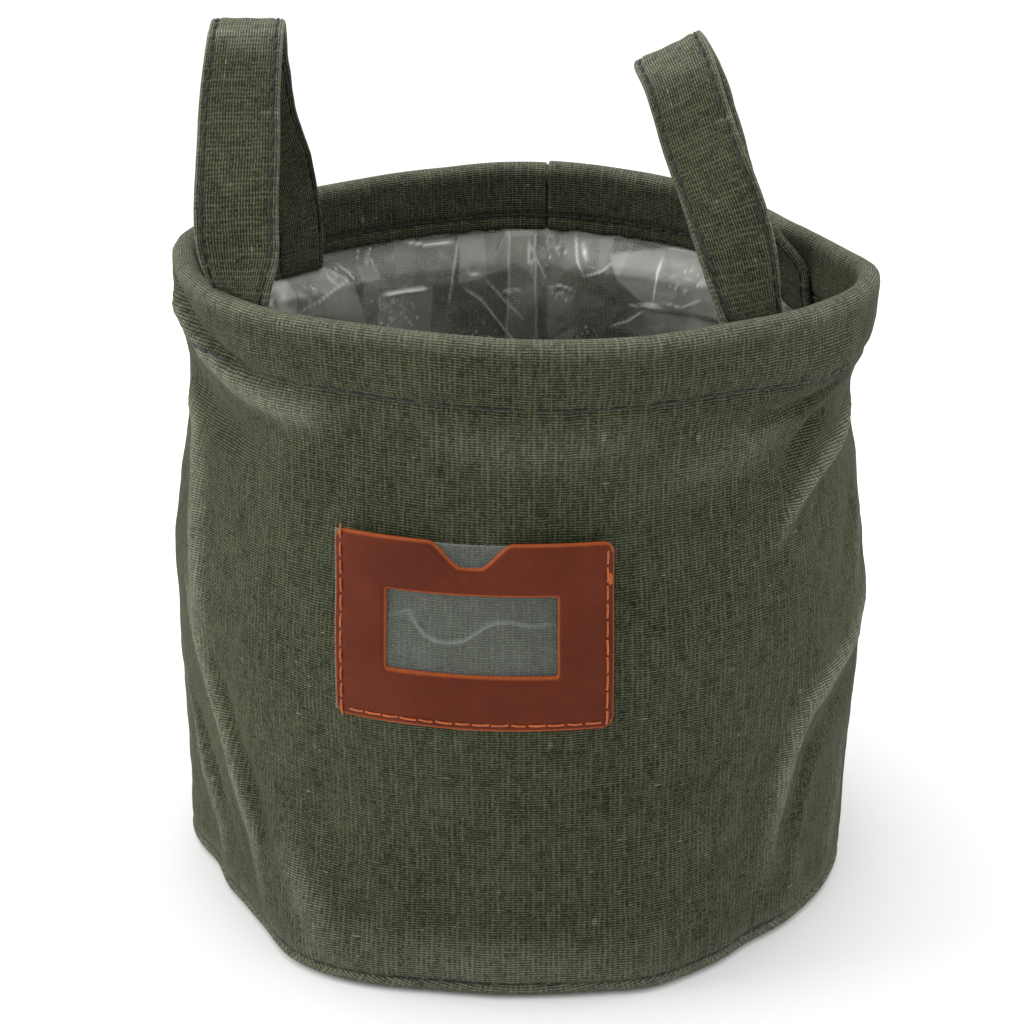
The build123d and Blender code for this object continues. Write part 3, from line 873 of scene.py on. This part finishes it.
def buildLiner():
    (start, end, step), coarse = liner["fine"], liner["coarse"]
    azimuth = np.radians(np.concatenate([np.arange(0, start, coarse), np.arange(start, end, step),
                                         np.arange(end, 359.5, coarse)]))
    top = bag["hemBottom"] + liner["caught"]
    z = np.concatenate([np.linspace(top, liner["fineLow"], liner["fineRows"]),
                        np.linspace(liner["fineLow"], 0.0016, liner["lowRows"] + 1)[1:]])
    A, Z = np.meshgrid(azimuth, z)
    depth = np.zeros_like(A)
    milkAndReflection, glint = filmMarks(A, Z)
    for k, (size, lift, cloudy) in enumerate(liner["crumples"]):
        level, tone = facets(azimuth * girth, z[::-1], wholeTurn * girth, top, size, liner["seed"] + k, True)
        depth += level[::-1] * lift
        milkAndReflection += (tone[::-1] - 0.25) * cloudy
    # folds stand in a little, and a painted highlight lines the creases where the flats meet
    depth += glint * liner["foldDepth"]
    glint = np.maximum(glint, 0.22 * ease(bentBy(depth), 0.00008, 0.00030))
    low, high = liner["hangBand"]
    depth *= (1 - 0.94 * ease(Z, low, high)) * (0.35 + 0.65 * ease(Z, 0.0, 0.02))
    # it hangs free of the wall, and clear of the back seam's flap until the hem covers it
    hung = wallRadius(Z) - bag["canvas"] - liner["offset"]
    underHem = bag["hemInner"] + bag["canvas"] + 0.0006
    nearFlap = 1 - ease(np.abs(backArc(np.degrees(A)) + 2.6), 6, 10)
    shifts = [shift * nearFlap for shift in liner["flapShift"]]
    R = hung + (underHem - hung) * ease(Z, low + shifts[0], high + shifts[1])
    side = onBag(A, R, Z) - outwardAt(A) * depth[..., None]
    bottom = linerBottom(side[-1])
    rest = bottom[..., 0]
    marks = {"milkAndReflection": np.concatenate([np.clip(milkAndReflection, 0, 1), np.full_like(rest, 0.35)]),
             "glint": np.concatenate([glint, np.zeros_like(rest)])}
    points = np.concatenate([side, bottom])
    return gridMesh("filmLiner", points, None, None, closedU=True, caps=(len(points) - 1,), marks=marks)


filmLiner = finishPiece(buildLiner(), linerFilm, nodes=("liner_wall", "liner_base"))
print("liner made")


# label: leather frame, film pocket behind it
def onLabel(arc, level, proud):
    # arc to the right of the label's middle, level above it, proud of the cloth behind
    azimuth = math.radians(label["turn"]) + np.asarray(arc) / girth
    z = label["middle"] + np.asarray(level)
    # stiff leather bridges the cloth's slow bends
    bridge = label["bridge"] - label["lean"] * (z - label["middle"])
    base = onBag(azimuth, 0.55 * wallRadius(z) + 0.45 * bridge, z)
    return base + outwardAt(azimuth) * (np.asarray(proud) + label["seat"])[..., None]


def cornerArc(x, y, radius, start):
    turns = np.radians(np.linspace(start, start + 90, 7))
    return [(x + radius * math.cos(turn), y + radius * math.sin(turn)) for turn in turns]


def boxCorners(width, height, radius, up=0.0):
    # the rounded corners of a box, from the top right one round by the left
    return [cornerArc(cx * (width / 2 - radius), up + cy * (height / 2 - radius), radius, start)
            for cx, cy, start in ((1, 1, 0), (-1, 1, 90), (-1, -1, 180), (1, -1, 270))]


def spread(outline, step=0.0007):
    # more points along an outline's straight runs
    points = []
    for (ax, ay), (bx, by) in zip(outline, outline[1:] + outline[:1]):
        count = max(1, round(math.hypot(bx - ax, by - ay) / step))
        points += [(ax + (bx - ax) * k / count, ay + (by - ay) * k / count) for k in range(count)]
    return points


def labelOutline():
    # rounded plate with a soft-cornered thumb notch in its top edge
    first, *others = boxCorners(label["width"], label["height"], label["corner"])
    notch = []
    for t in np.linspace(1, -1, 25):
        share = min(1.0, max(0.0, (abs(t) - 0.14) / 0.81))
        drop = label["notchDepth"] * (0.5 + 0.5 * math.cos(math.pi * share))
        notch.append((t * label["notchWidth"] / 2, label["height"] / 2 - drop))
    return first + notch + sum(others, [])


def platePiece(name, outer, hole, edge, front):
    # a plate cut to an outline with one hole: rounded front edges, a wall round each cut, and a back
    step, reach = 0.00085, (0.031, 0.023)
    X, Y = (a.ravel() for a in np.meshgrid(*(np.arange(-far, far, step) for far in reach)))

    def onPlate(x, y):
        return insideOutline(x, y, outer) & ~insideOutline(x, y, hole)

    keep = onPlate(X, Y) & (edgeDistance(X, Y, [outer, hole]) > step * 0.55)
    spots, edges = [], []
    for ring in (spread(outer), spread(hole)):
        start = len(spots)
        spots += ring
        edges += [(start + i, start + (i + 1) % len(ring)) for i in range(len(ring))]
    spots += list(zip(X[keep], Y[keep]))
    done = geometry.delaunay_2d_cdt([Vector(p) for p in spots], edges, [], 0, 1e-7)
    places = np.array([tuple(p) for p in done[0]])
    centre = np.array([places[list(t)].mean(0) for t in done[2]])
    triangles = []
    for use, t in zip(onPlate(*centre.T), done[2]):
        if use:
            (ax, ay), (bx, by), (cx, cy) = (places[k] for k in t)
            turned = (bx - ax) * (cy - ay) - (cx - ax) * (by - ay) < 0
            triangles.append(tuple(reversed(t)) if turned else tuple(t))
    x, y = places.T
    gap = edgeDistance(x, y, [outer, hole])
    count = len(places)
    points = [tuple(p) for p in onLabel(x, y, front(x, y, gap))]
    points += [tuple(p) for p in onLabel(x, y, np.zeros(count))]
    faces = triangles + [tuple(count + k for k in reversed(t)) for t in triangles]
    sides = dict.fromkeys((a, b) for t in triangles for a, b in zip(t, t[1:] + t[:1]))
    faces += [(b, a, count + a, count + b) for a, b in sides if (b, a) not in sides]
    marks = np.concatenate([np.clip(1 - gap / edge, 0, 1), np.ones(count)])
    return makeMesh(name, points, faces, None, {"edge": marks})


def stitchPaths():
    # the label thread's three sides: down the left, along the foot, up the right
    w, h = label["width"] / 2 - label["stitchIn"], label["height"] / 2 - label["stitchIn"]
    top = label["height"] / 2
    left = [(-w, y) for y in np.linspace(top - 0.0004, -h, 40)]
    foot = [(x, -h) for x in np.linspace(-w + 0.0034, w - 0.0028, 56)]
    right = [(w, y) for y in np.linspace(-h + 0.0010, top - 0.0030, 36)]
    return left, foot, right


def leatherFront(x, y, gap):
    # thickness at each point: rounded edge, a groove under the thread, a slight sag
    edge = np.clip(1 - gap / label["roundIn"], 0, 1)
    height = label["thickness"] - label["roundDown"] * (1 - np.sqrt(np.maximum(0, 1 - edge ** 2)))
    w, h = label["width"] / 2 - label["stitchIn"], label["height"] / 2 - label["stitchIn"]
    groove = np.minimum(np.abs(x + w), np.abs(y + h))
    groove = np.where(y < label["height"] / 2 - 0.0036, np.minimum(groove, np.abs(x - w)), groove)
    return height - 0.00024 * bell(groove, 0.00055) + 0.00010 * np.sin(x * 210 + 1) * np.cos(y * 260)


windowOutline = sum(boxCorners(label["windowWidth"], label["windowHeight"], label["windowCorner"],
                               label["windowUp"]), [])
labelLeather = platePiece("labelLeather", labelOutline(), windowOutline, label["paleEdge"], leatherFront)
finishPiece(labelLeather, leather, nodes=("label_frame",))


def buildPocketFilm():
    w, h, m = label["width"], label["height"], label["filmMargin"]
    u = np.linspace(-w / 2 - 0.5 * m, w / 2 - 0.0006, 190)
    v = np.linspace(-h / 2 + 0.0006, h / 2 - 0.0003, 130)
    U, V = np.meshgrid(u, v)
    # it bellies out a little in the window, with one soft wandering fold
    bellyX = np.clip(1 - (U / (label["windowWidth"] / 2)) ** 2, 0, 1)
    bellyY = np.clip(1 - ((V - label["windowUp"]) / (label["windowHeight"] / 2)) ** 2, 0, 1)
    line = [[(x * mm, y * mm) for x, y in label["fold"]]]
    fold = edgeDistance(U, V, line, closed=False)
    below = edgeDistance(U, V + 0.00040, line, closed=False)
    notch = np.exp(-((U / 0.006) ** 2 + ((V - h / 2 + 0.002) / 0.004) ** 2))
    lift = 0.00040 * bellyX * bellyY + 0.00006 * bell(fold, 0.0008) * bellyX
    points = onLabel(U, V, lift + 0.00018 * notch + label["filmProud"])
    # painted highlight just below the fold and along the left and top cut edges, and painted shade in a dark line
    # along the fold
    shine = 0.24 * bell(below, 0.00022) * bellyX
    edge = 0.20 * bell(np.minimum(U - u[0], v[-1] - V), 0.00030)
    dark = 0.75 * bell(fold, 0.00028) * np.sqrt(bellyX) * (0.55 + 0.45 * np.sin(U * 260 + 1) ** 2)
    return gridMesh("pocketFilm", points, u, v, marks={"glint": np.maximum(shine, edge), "fold": dark})


pocket = finishPiece(buildPocketFilm(), pocketFilm, nodes=("label_window_film",))
print("label made")


# straps: one band each, sewn inside the hem, up over an arch
straps = {
    "width": 0.0165, "thick": 0.0022, "radius": 0.07335, "stitchIn": 0.0016, "rows": 210, "round": 0.0012,
    # heights of the sewn ends in mm, and how much thinner the cut ends are pressed
    "sewnUp": (128, 132, 136, 140.5), "pressed": (0.55, 0.85, 0.97),
    # heights between which a strap goes over from riding on the bag to riding on its handle
    "blend": ((0, 0, 0.1470), (0, 0, 0.1600)),
    # ends in degrees; between them the centre line: x, y, z in mm, turn towards the arch's flat side, width
    "left": {
        "near": -53.1, "far": -130.7, "seed": 2, "flat": (0.999, -0.033, 0.0), "crease": -6.5,
        "keys": ((-58.7, -43.6, 148, 0.22, 1.05), (-58.9, -41.2, 157, 0.86, 1.08), (-59.3, -36.5, 165, 1, 1.09),
                 (-60.0, -26, 177, 1, 1.08), (-60.2, -14, 188.8, 1, 1.04), (-60.4, -5.5, 195.6, 1, 1.01),
                 (-60.4, 1.0, 197.0, 1, 1), (-60.5, 7.5, 193.8, 0.9, 1), (-60.5, 16, 184.5, 0.42, 1),
                 (-59.6, 28, 171, 0.12, 1), (-57.9, 38.5, 159, 0.03, 1), (-56.2, 45.5, 149, 0, 1)),
    },
    "right": {
        "near": 40.2, "far": 106.5, "seed": 6, "flat": (0.873, -0.137, 0.467), "crease": 5.0,
        "keys": ((46.8, -55.4, 148, 0.12, 1), (44.4, -51.5, 158, 0.5, 1), (40.3, -42, 170.5, 0.92, 1),
                 (36.6, -29.5, 182, 1, 1), (33.6, -17.5, 190, 1, 1), (32.2, -9.5, 192.8, 1, 1),
                 (34.0, -2.8, 190.4, 0.85, 1), (39.6, 4, 181.5, 0.45, 1), (45.8, 9.5, 170, 0.2, 1),
                 (50.4, 13.6, 159.5, 0.1, 1), (54.8, 17.1, 149.5, 0.05, 1)),
    },
}


def strapShape(place):
    # a smooth curve through the sewn ends and the keys, cut into even steps
    ends = [math.radians(place[end]) for end in ("near", "far")]
    sewn = [[np.append(onBag(np.array(end), straps["radius"], z * mm) / mm, (0, 1)) for z in straps["sewnUp"]]
            for end in ends]
    keys = np.array(sewn[0] + [np.array(k, float) for k in place["keys"]] + sewn[1][::-1])
    at = np.concatenate([[0], np.cumsum(np.sqrt(np.linalg.norm(np.diff(keys[:, :3], axis=0), axis=1)))])
    curve = curveThrough(at, keys, np.linspace(0, at[-1], 900))
    curve[:, :3] *= mm
    length = runAlong(curve[:, :3])
    run = np.linspace(0, length[-1], straps["rows"])
    curve = np.stack([np.interp(run, length, curve[:, k]) for k in range(5)], -1)
    line, turned, wide = curve[:, :3], np.clip(curve[:, 3:4], 0, 1), curve[:, 4:]
    tangent = np.gradient(line, axis=0)
    tangent /= np.linalg.norm(tangent, axis=1)[:, None]
    # across the band: round the bag at the sewn ends, along the arch's flat side above
    flat = np.array(place["flat"])
    aside = [np.array([math.cos(end), math.sin(end), 0]) for end in ends]
    aside = [a if np.dot(a, flat) > 0 else -a for a in aside]
    half = np.linspace(0, 1, len(line))[:, None] < 0.5
    width = np.where(half, aside[0], aside[1]) * (1 - turned) + flat * turned
    width -= tangent * np.sum(width * tangent, axis=1)[:, None]
    width /= np.linalg.norm(width, axis=1)[:, None]
    out = np.cross(width, tangent)
    # the front face looks out of the bag at the sewn ends and out of the arch above
    if np.dot(out[0], outwardAt(ends[0])) < 0:
        out = -out
    # a soft band is never quite straight
    still = ease(np.minimum(run, run[-1] - run), 0.012, 0.035)
    sway = 0.00035 * np.sin(run * 70 + place["seed"]) + 0.00020 * np.sin(run * 190 + 2 * place["seed"])
    return line + width * (sway * still)[:, None], run, width, out, wide


def strapOutline():
    # the band's section: two plies with rounded edges, pulled in along the stitches
    half, thick, turn = straps["width"] / 2, straps["thick"] / 2, straps["round"]
    s = np.concatenate([np.linspace(-half, -half + turn, 6)[:-1], np.linspace(-half + turn, half - turn, 27),
                        np.linspace(half - turn, half, 6)[1:]])
    fall = np.clip((np.abs(s) - (half - turn)) / turn, 0, 1)
    t = thick * np.sqrt(np.maximum(0, 1 - fall ** 2.2))
    groove = bell(np.abs(s) - (half - straps["stitchIn"]), 0.00050)
    t = t - 0.00042 * groove + 0.00010 * bell(np.abs(s) - (half - 0.0030), 0.0010)
    top = np.stack([s, t], -1)
    low = np.stack([s[::-1][1:-1], -t[::-1][1:-1]], -1)
    return np.concatenate([top, low])


def strapMesh(name, place):
    line, run, width, out, wide = strapShape(place)
    outline = strapOutline()
    thick = np.ones(len(run))
    for k, shrink in enumerate(straps["pressed"]):
        thick[k] = thick[-1 - k] = shrink
    points = line[:, None] + width[:, None] * (outline[None, :, 0:1] * wide[:, None])
    points = points + out[:, None] * (outline[None, :, 1] * thick[:, None])[..., None]
    rough = wobble(points, 260, 0.00022, place["seed"]) + wobble(points, 90, 0.00030, place["seed"] + 1)
    # a worn fold line across the top
    highest = int(np.argmax(line[:, 2]))
    fold = bell(run - run[highest] - place["crease"] * mm, 0.0007)[:, None]
    points = points + out[:, None] * (rough + 0.0003 * fold)[..., None]
    along = runAlong(outline)
    # its edges and its fold are worn pale, and its crown gets a painted highlight where the top light falls on it
    wearAndHighlight = np.clip((np.abs(outline[:, 0]) - 0.0072) / 0.0010, 0, 1)[None] * 0.8 + 0.8 * fold
    wearAndHighlight = wearAndHighlight + 0.95 * bell(line[:, 2] - line[highest, 2], 0.0042)[:, None]
    # the columns run the other way where they would turn the band inside out
    first = np.cross(points[50, 12] - points[50, 10], points[52, 11] - points[50, 11])
    if np.dot(first, out[50]) < 0:
        points, along, wearAndHighlight = points[:, ::-1], along[::-1], wearAndHighlight[:, ::-1]
    # the cloth's grain lies across the band: its ribs are counted along the length
    return gridMesh(name, points, along, run, closedU=True, caps=(0, len(run) - 1), marks={"wearAndHighlight": wearAndHighlight},
                    uSpan=along.max(), swapUv=True)


for side in ("left", "right"):
    body = "handle_" + side
    piece = strapMesh("strap" + side.capitalize(), straps[side])
    finishPiece(piece, canvas, body=None, nodes=(body, body + "_front_tab", body + "_back_tab"))
    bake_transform(piece)
print("straps made")


# stitches, one Geometry Nodes tree for every run
lookNames = ("Pitch", "Stitch length", "Thread", "Arch", "Slant")
threads = {
    # in the order of the names above
    "hem": (0.0039, 0.0031, 0.00074, 0.00018, 0.06),
    "strap": (0.0036, 0.0028, 0.00056, 0.00020, 0.05),
    "label": (0.0039, 0.0034, 0.00046, 0.00022, 0.06),
    "base": (0.0039, 0.0029, 0.00050, 0.00018, 0.06),
    "tack": (0.0005, 0.0011, 0.00046, 0.00025, 0.5),
}


def stitchTree():
    tree = bpy.data.node_groups.new("stitchRun", "GeometryNodeTree")
    face = tree.interface
    face.new_socket("Path", in_out="INPUT", socket_type="NodeSocketGeometry")
    for title in lookNames:
        face.new_socket(title, in_out="INPUT", socket_type="NodeSocketFloat")
    face.new_socket("Seed", in_out="INPUT", socket_type="NodeSocketInt")
    face.new_socket("Finish", in_out="INPUT", socket_type="NodeSocketMaterial")
    face.new_socket("Stitches", in_out="OUTPUT", socket_type="NodeSocketGeometry")
    board = Board(tree)
    value = board.add("NodeGroupInput").side
    curve = board.add("GeometryNodeMeshToCurve", {}, {"Mesh": value("Path")})
    marks = board.add("GeometryNodeResampleCurve", {"mode": "LENGTH"}, {"Curve": curve, "Length": value("Pitch")})
    half, arch, slant = value("Stitch length") * 0.5, value("Arch"), value("Slant")
    arc = board.add("GeometryNodeCurveQuadraticBezier", {}, {
        "Resolution": 5, "Start": board.joined(0 - half, 0.0, arch * -1.0),
        "Middle": board.joined(0.0, 0.0, arch * 1.4), "End": board.joined(half, 0.0, arch * -1.0)})
    ring = board.add("GeometryNodeCurvePrimitiveCircle", {"mode": "RADIUS"},
                     {"Resolution": 6, "Radius": value("Thread") * 0.5})
    stitch = board.add("GeometryNodeCurveToMesh", {}, {"Curve": arc, "Profile Curve": ring, "Fill Caps": True})
    outward = board.add("GeometryNodeInputNamedAttribute", {"data_type": "FLOAT_VECTOR"}, {"Name": "outward"})
    # each stitch lies along its line and arches outward
    aimed = board.add("FunctionNodeAlignRotationToVector", {"axis": "X"},
                      {"Vector": board.add("GeometryNodeInputTangent")})
    aimed = board.add("FunctionNodeAlignRotationToVector", {"axis": "Z", "pivot_axis": "X"},
                      {"Rotation": aimed, "Vector": outward})
    placed = board.add("GeometryNodeInstanceOnPoints", {},
                       {"Points": marks, "Instance": stitch, "Rotation": aimed})
    tilt = board.add("FunctionNodeRandomValue", {"data_type": "FLOAT_VECTOR"}, {
        0: board.joined(0.0, slant * -0.4, slant * -1.0), 1: board.joined(0.0, slant * 0.4, slant * 1.0),
        "Seed": value("Seed")})
    placed = board.add("GeometryNodeRotateInstances", {}, {"Instances": placed, "Rotation": tilt})
    size = board.add("FunctionNodeRandomValue", {"data_type": "FLOAT_VECTOR"}, {
        0: (0.86, 0.9, 0.9), 1: (1.06, 1.12, 1.12), "Seed": value("Seed") + 7})
    placed = board.add("GeometryNodeScaleInstances", {}, {"Instances": placed, "Scale": size})
    real = board.add("GeometryNodeRealizeInstances", {}, {"Geometry": placed})
    smooth = board.add("GeometryNodeSetShadeSmooth", {}, {"Geometry": real})
    done = board.add("GeometryNodeSetMaterial", {}, {"Geometry": smooth, "Material": value("Finish")})
    board.add("NodeGroupOutput", {}, {"Stitches": done})
    return tree


stitchNodes = stitchTree()


def sewRuns(name, runs, finish, look, seed):
    # runs: (points, outward directions, closed) for each line of stitches
    points, edges, outward = [], [], []
    for line, out, closed in runs:
        start = len(points)
        points += [tuple(p) for p in line]
        outward += [tuple(o) for o in out]
        edges += [(start + i, start + i + 1) for i in range(len(line) - 1)]
        if closed:
            edges.append((start + len(line) - 1, start))
    mesh = bpy.data.meshes.new(name + "Path")
    mesh.from_pydata(points, edges, [])
    mark = mesh.attributes.new("outward", "FLOAT_VECTOR", "POINT")
    mark.data.foreach_set("vector", np.array(outward, np.float32).ravel())
    path = bpy.data.objects.new(name + "Path", mesh)
    scene.collection.objects.link(path)
    modifier = path.modifiers.new("stitches", "NODES")
    modifier.node_group = stitchNodes
    wanted = {**dict(zip(lookNames, look)), "Seed": seed, "Finish": finish}
    for item in stitchNodes.interface.items_tree:
        if item.item_type == "SOCKET" and item.in_out == "INPUT" and item.name in wanted:
            modifier[item.identifier] = wanted[item.name]
    bpy.context.view_layer.update()
    made = bpy.data.meshes.new_from_object(path.evaluated_get(bpy.context.evaluated_depsgraph_get()))
    path.modifiers.clear()
    bpy.data.objects.remove(path)
    made.name = name
    piece = bpy.data.objects.new(name, made)
    scene.collection.objects.link(piece)
    return piece


def joined(piece, other):
    both = bmesh.new()
    both.from_mesh(piece.data)
    both.from_mesh(other.data)
    both.to_mesh(piece.data)
    both.free()
    bpy.data.objects.remove(other)
    return piece


def greenRun(name, runs, look, seed, node):
    return finishPiece(sewRuns(name, runs, shadedGreenThread, threads[look], seed), shadedGreenThread,
                       nodes=(node,))


def hemRun(height, face, proud, count=720):
    # a run of thread round the bag, on the outside (face 1) or the inside (face -1) of the hem
    azimuth = np.radians(np.linspace(0, 360, count, endpoint=False))
    z = np.full(count, height)
    sink = -0.62
    radius = wallRadius(z)
    if face < 0:
        sink = 0.42
        radius = np.full(count, bag["hemInner"])
        # it climbs over the straps' sewn ends
        inner = straps["radius"] - straps["thick"] / 2
        for at in (straps[side][end] for side in ("left", "right") for end in ("near", "far")):
            gap = np.abs(turnFrom(azimuth, math.radians(at))) * straps["radius"]
            over = 1 - ease(gap, straps["width"] / 2 - 0.0002, straps["width"] / 2 + 0.0012)
            radius = radius + (inner - bag["hemInner"]) * over
    return [(onBag(azimuth, radius, z, sink + proud / mm * face), outwardAt(azimuth) * face, True)]


def seamRun():
    z = np.linspace(*flap["stitchHeights"])
    azimuth = np.full(len(z), np.pi - (flap["right"] - flap["stitchIn"]) / girth)
    inner = wallRadius(z) - bag["canvas"] - flap["thick"] - 0.0002
    return [(onBag(azimuth, inner, z), -outwardAt(azimuth), False)]


def baseRun():
    azimuth = np.radians(np.linspace(0, 360, 720, endpoint=False))
    z = np.full(720, 0.0034)
    return [(onBag(azimuth, wallRadius(z), z, -0.62), outwardAt(azimuth) - (0, 0, 0.2), True)]


def labelRun(x, y):
    onLeather = (np.abs(x) <= label["width"] / 2) & (y <= label["height"] / 2)
    proud = np.where(onLeather, label["thickness"] - 0.00002, 0.0001)
    return onLabel(x, y, proud), outwardAt(math.radians(label["turn"]) + x / girth), False


hemOutside = greenRun("hemThreadOutside", hemRun(bag["stitchLine"], 1, 0.00008), "hem", 3, "hem_stitching_outer")
hemInside = greenRun("hemThreadInside", hemRun(bag["stitchLine"] + 0.0008, -1, 0.00012), "hem", 4,
                     "hem_stitching_inner")
greenRun("backSeamThread", seamRun(), "base", 5, "back_seam_stitching")
baseThread = greenRun("baseThread", baseRun(), "base", 6, "base_stitching")

labelThread = sewRuns("labelThread", [labelRun(*np.array(path).T) for path in stitchPaths()], orangeThread,
                      threads["label"], 8)
# a small back tack beside the top of the right column
tackX, tackY = label["width"] / 2 - label["stitchIn"] + 0.0003, label["height"] / 2 - 0.0072
tackDown = np.linspace(tackY, tackY - 0.0014, 5)
tack = sewRuns("labelTack", [labelRun(np.full(5, tackX + shift), tackDown) for shift in (0, 0.0004)],
               orangeThread, threads["tack"], 2)
finishPiece(joined(labelThread, tack), orangeThread, nodes=("label_stitching",))

for side in ("left", "right"):
    tape, _, width, out, wide = strapShape(straps[side])
    half, thick = straps["width"] / 2 - straps["stitchIn"], straps["thick"] / 2
    runs = [((tape + width * half * s * wide + out * (thick - 0.00012) * f)[4:-4], (out * f)[4:-4], False)
            for s in (-1, 1) for f in (-1, 1)]
    piece = sewRuns("strapThread" + side.capitalize(), runs, shadedGreenThread, threads["strap"], 9)
    finishPiece(piece, shadedGreenThread, body=None, nodes=("handle_" + side + "_stitching",))
    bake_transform(piece)
print("stitches sewn")


# floor, light and camera
studio = {
    "world": 1.0, "top": 3.0, "sides": 5.0,
    "floor": (0.95, 0.95, 0.95, 1), "floorReach": 6, "floorHeight": -0.0002,
    "lens": 81.9, "sensor": 36, "eye": (-0.0019, -0.5160, 0.2807), "lookDown": 21.04,
}


def areaLight(name, size, power, place, aim):
    lamp = bpy.data.lights.new(name, "AREA")
    lamp.shape, lamp.size, lamp.size_y, lamp.energy = "RECTANGLE", size[0], size[1], power
    made = bpy.data.objects.new(name, lamp)
    made.location = place
    made.rotation_euler = (Vector(aim) - Vector(place)).to_track_quat("-Z", "Y").to_euler()
    scene.collection.objects.link(made)


def buildStudio():
    floorMesh = bpy.data.meshes.new("studioFloor")
    reach, low = studio["floorReach"], studio["floorHeight"]
    corners = [(x * reach, y * reach, low) for x, y in ((-1, -1), (1, -1), (1, 1), (-1, 1))]
    floorMesh.from_pydata(corners, [], [(0, 1, 2, 3)])
    floor = bpy.data.objects.new("studioFloor", floorMesh)
    scene.collection.objects.link(floor)
    finish, board = newFinish("paleFloor")
    closeFinish(board, {"Base Color": studio["floor"], "Roughness": 0.9}, {})
    floorMesh.materials.append(finish)
    world = bpy.data.worlds.new("studioWorld")
    world.use_nodes = True
    sky = world.node_tree.nodes["Background"]
    sky.inputs[0].default_value = (1, 1, 1, 1)
    sky.inputs[1].default_value = studio["world"]
    scene.world = world
    areaLight("topLight", (0.9, 0.6), studio["top"], (0.0, 0.15, 0.95), (0, 0, 0.1))
    areaLight("leftLight", (0.6, 0.9), studio["sides"], (-0.85, -0.05, 0.4), (0, 0, 0.09))
    areaLight("rightLight", (0.5, 0.8), studio["sides"] * 0.30, (0.9, 0.15, 0.35), (0, 0, 0.09))
    camera = bpy.data.cameras.new("studioCamera")
    camera.lens, camera.sensor_width = studio["lens"], studio["sensor"]
    view = bpy.data.objects.new("studioCamera", camera)
    view.location = studio["eye"]
    view.rotation_euler = (math.radians(90 - studio["lookDown"]), 0, 0)
    scene.collection.objects.link(view)
    scene.camera = view
    scene.view_settings.view_transform = "Standard"
    scene.render.film_transparent = False


buildStudio()
print("scene ready")
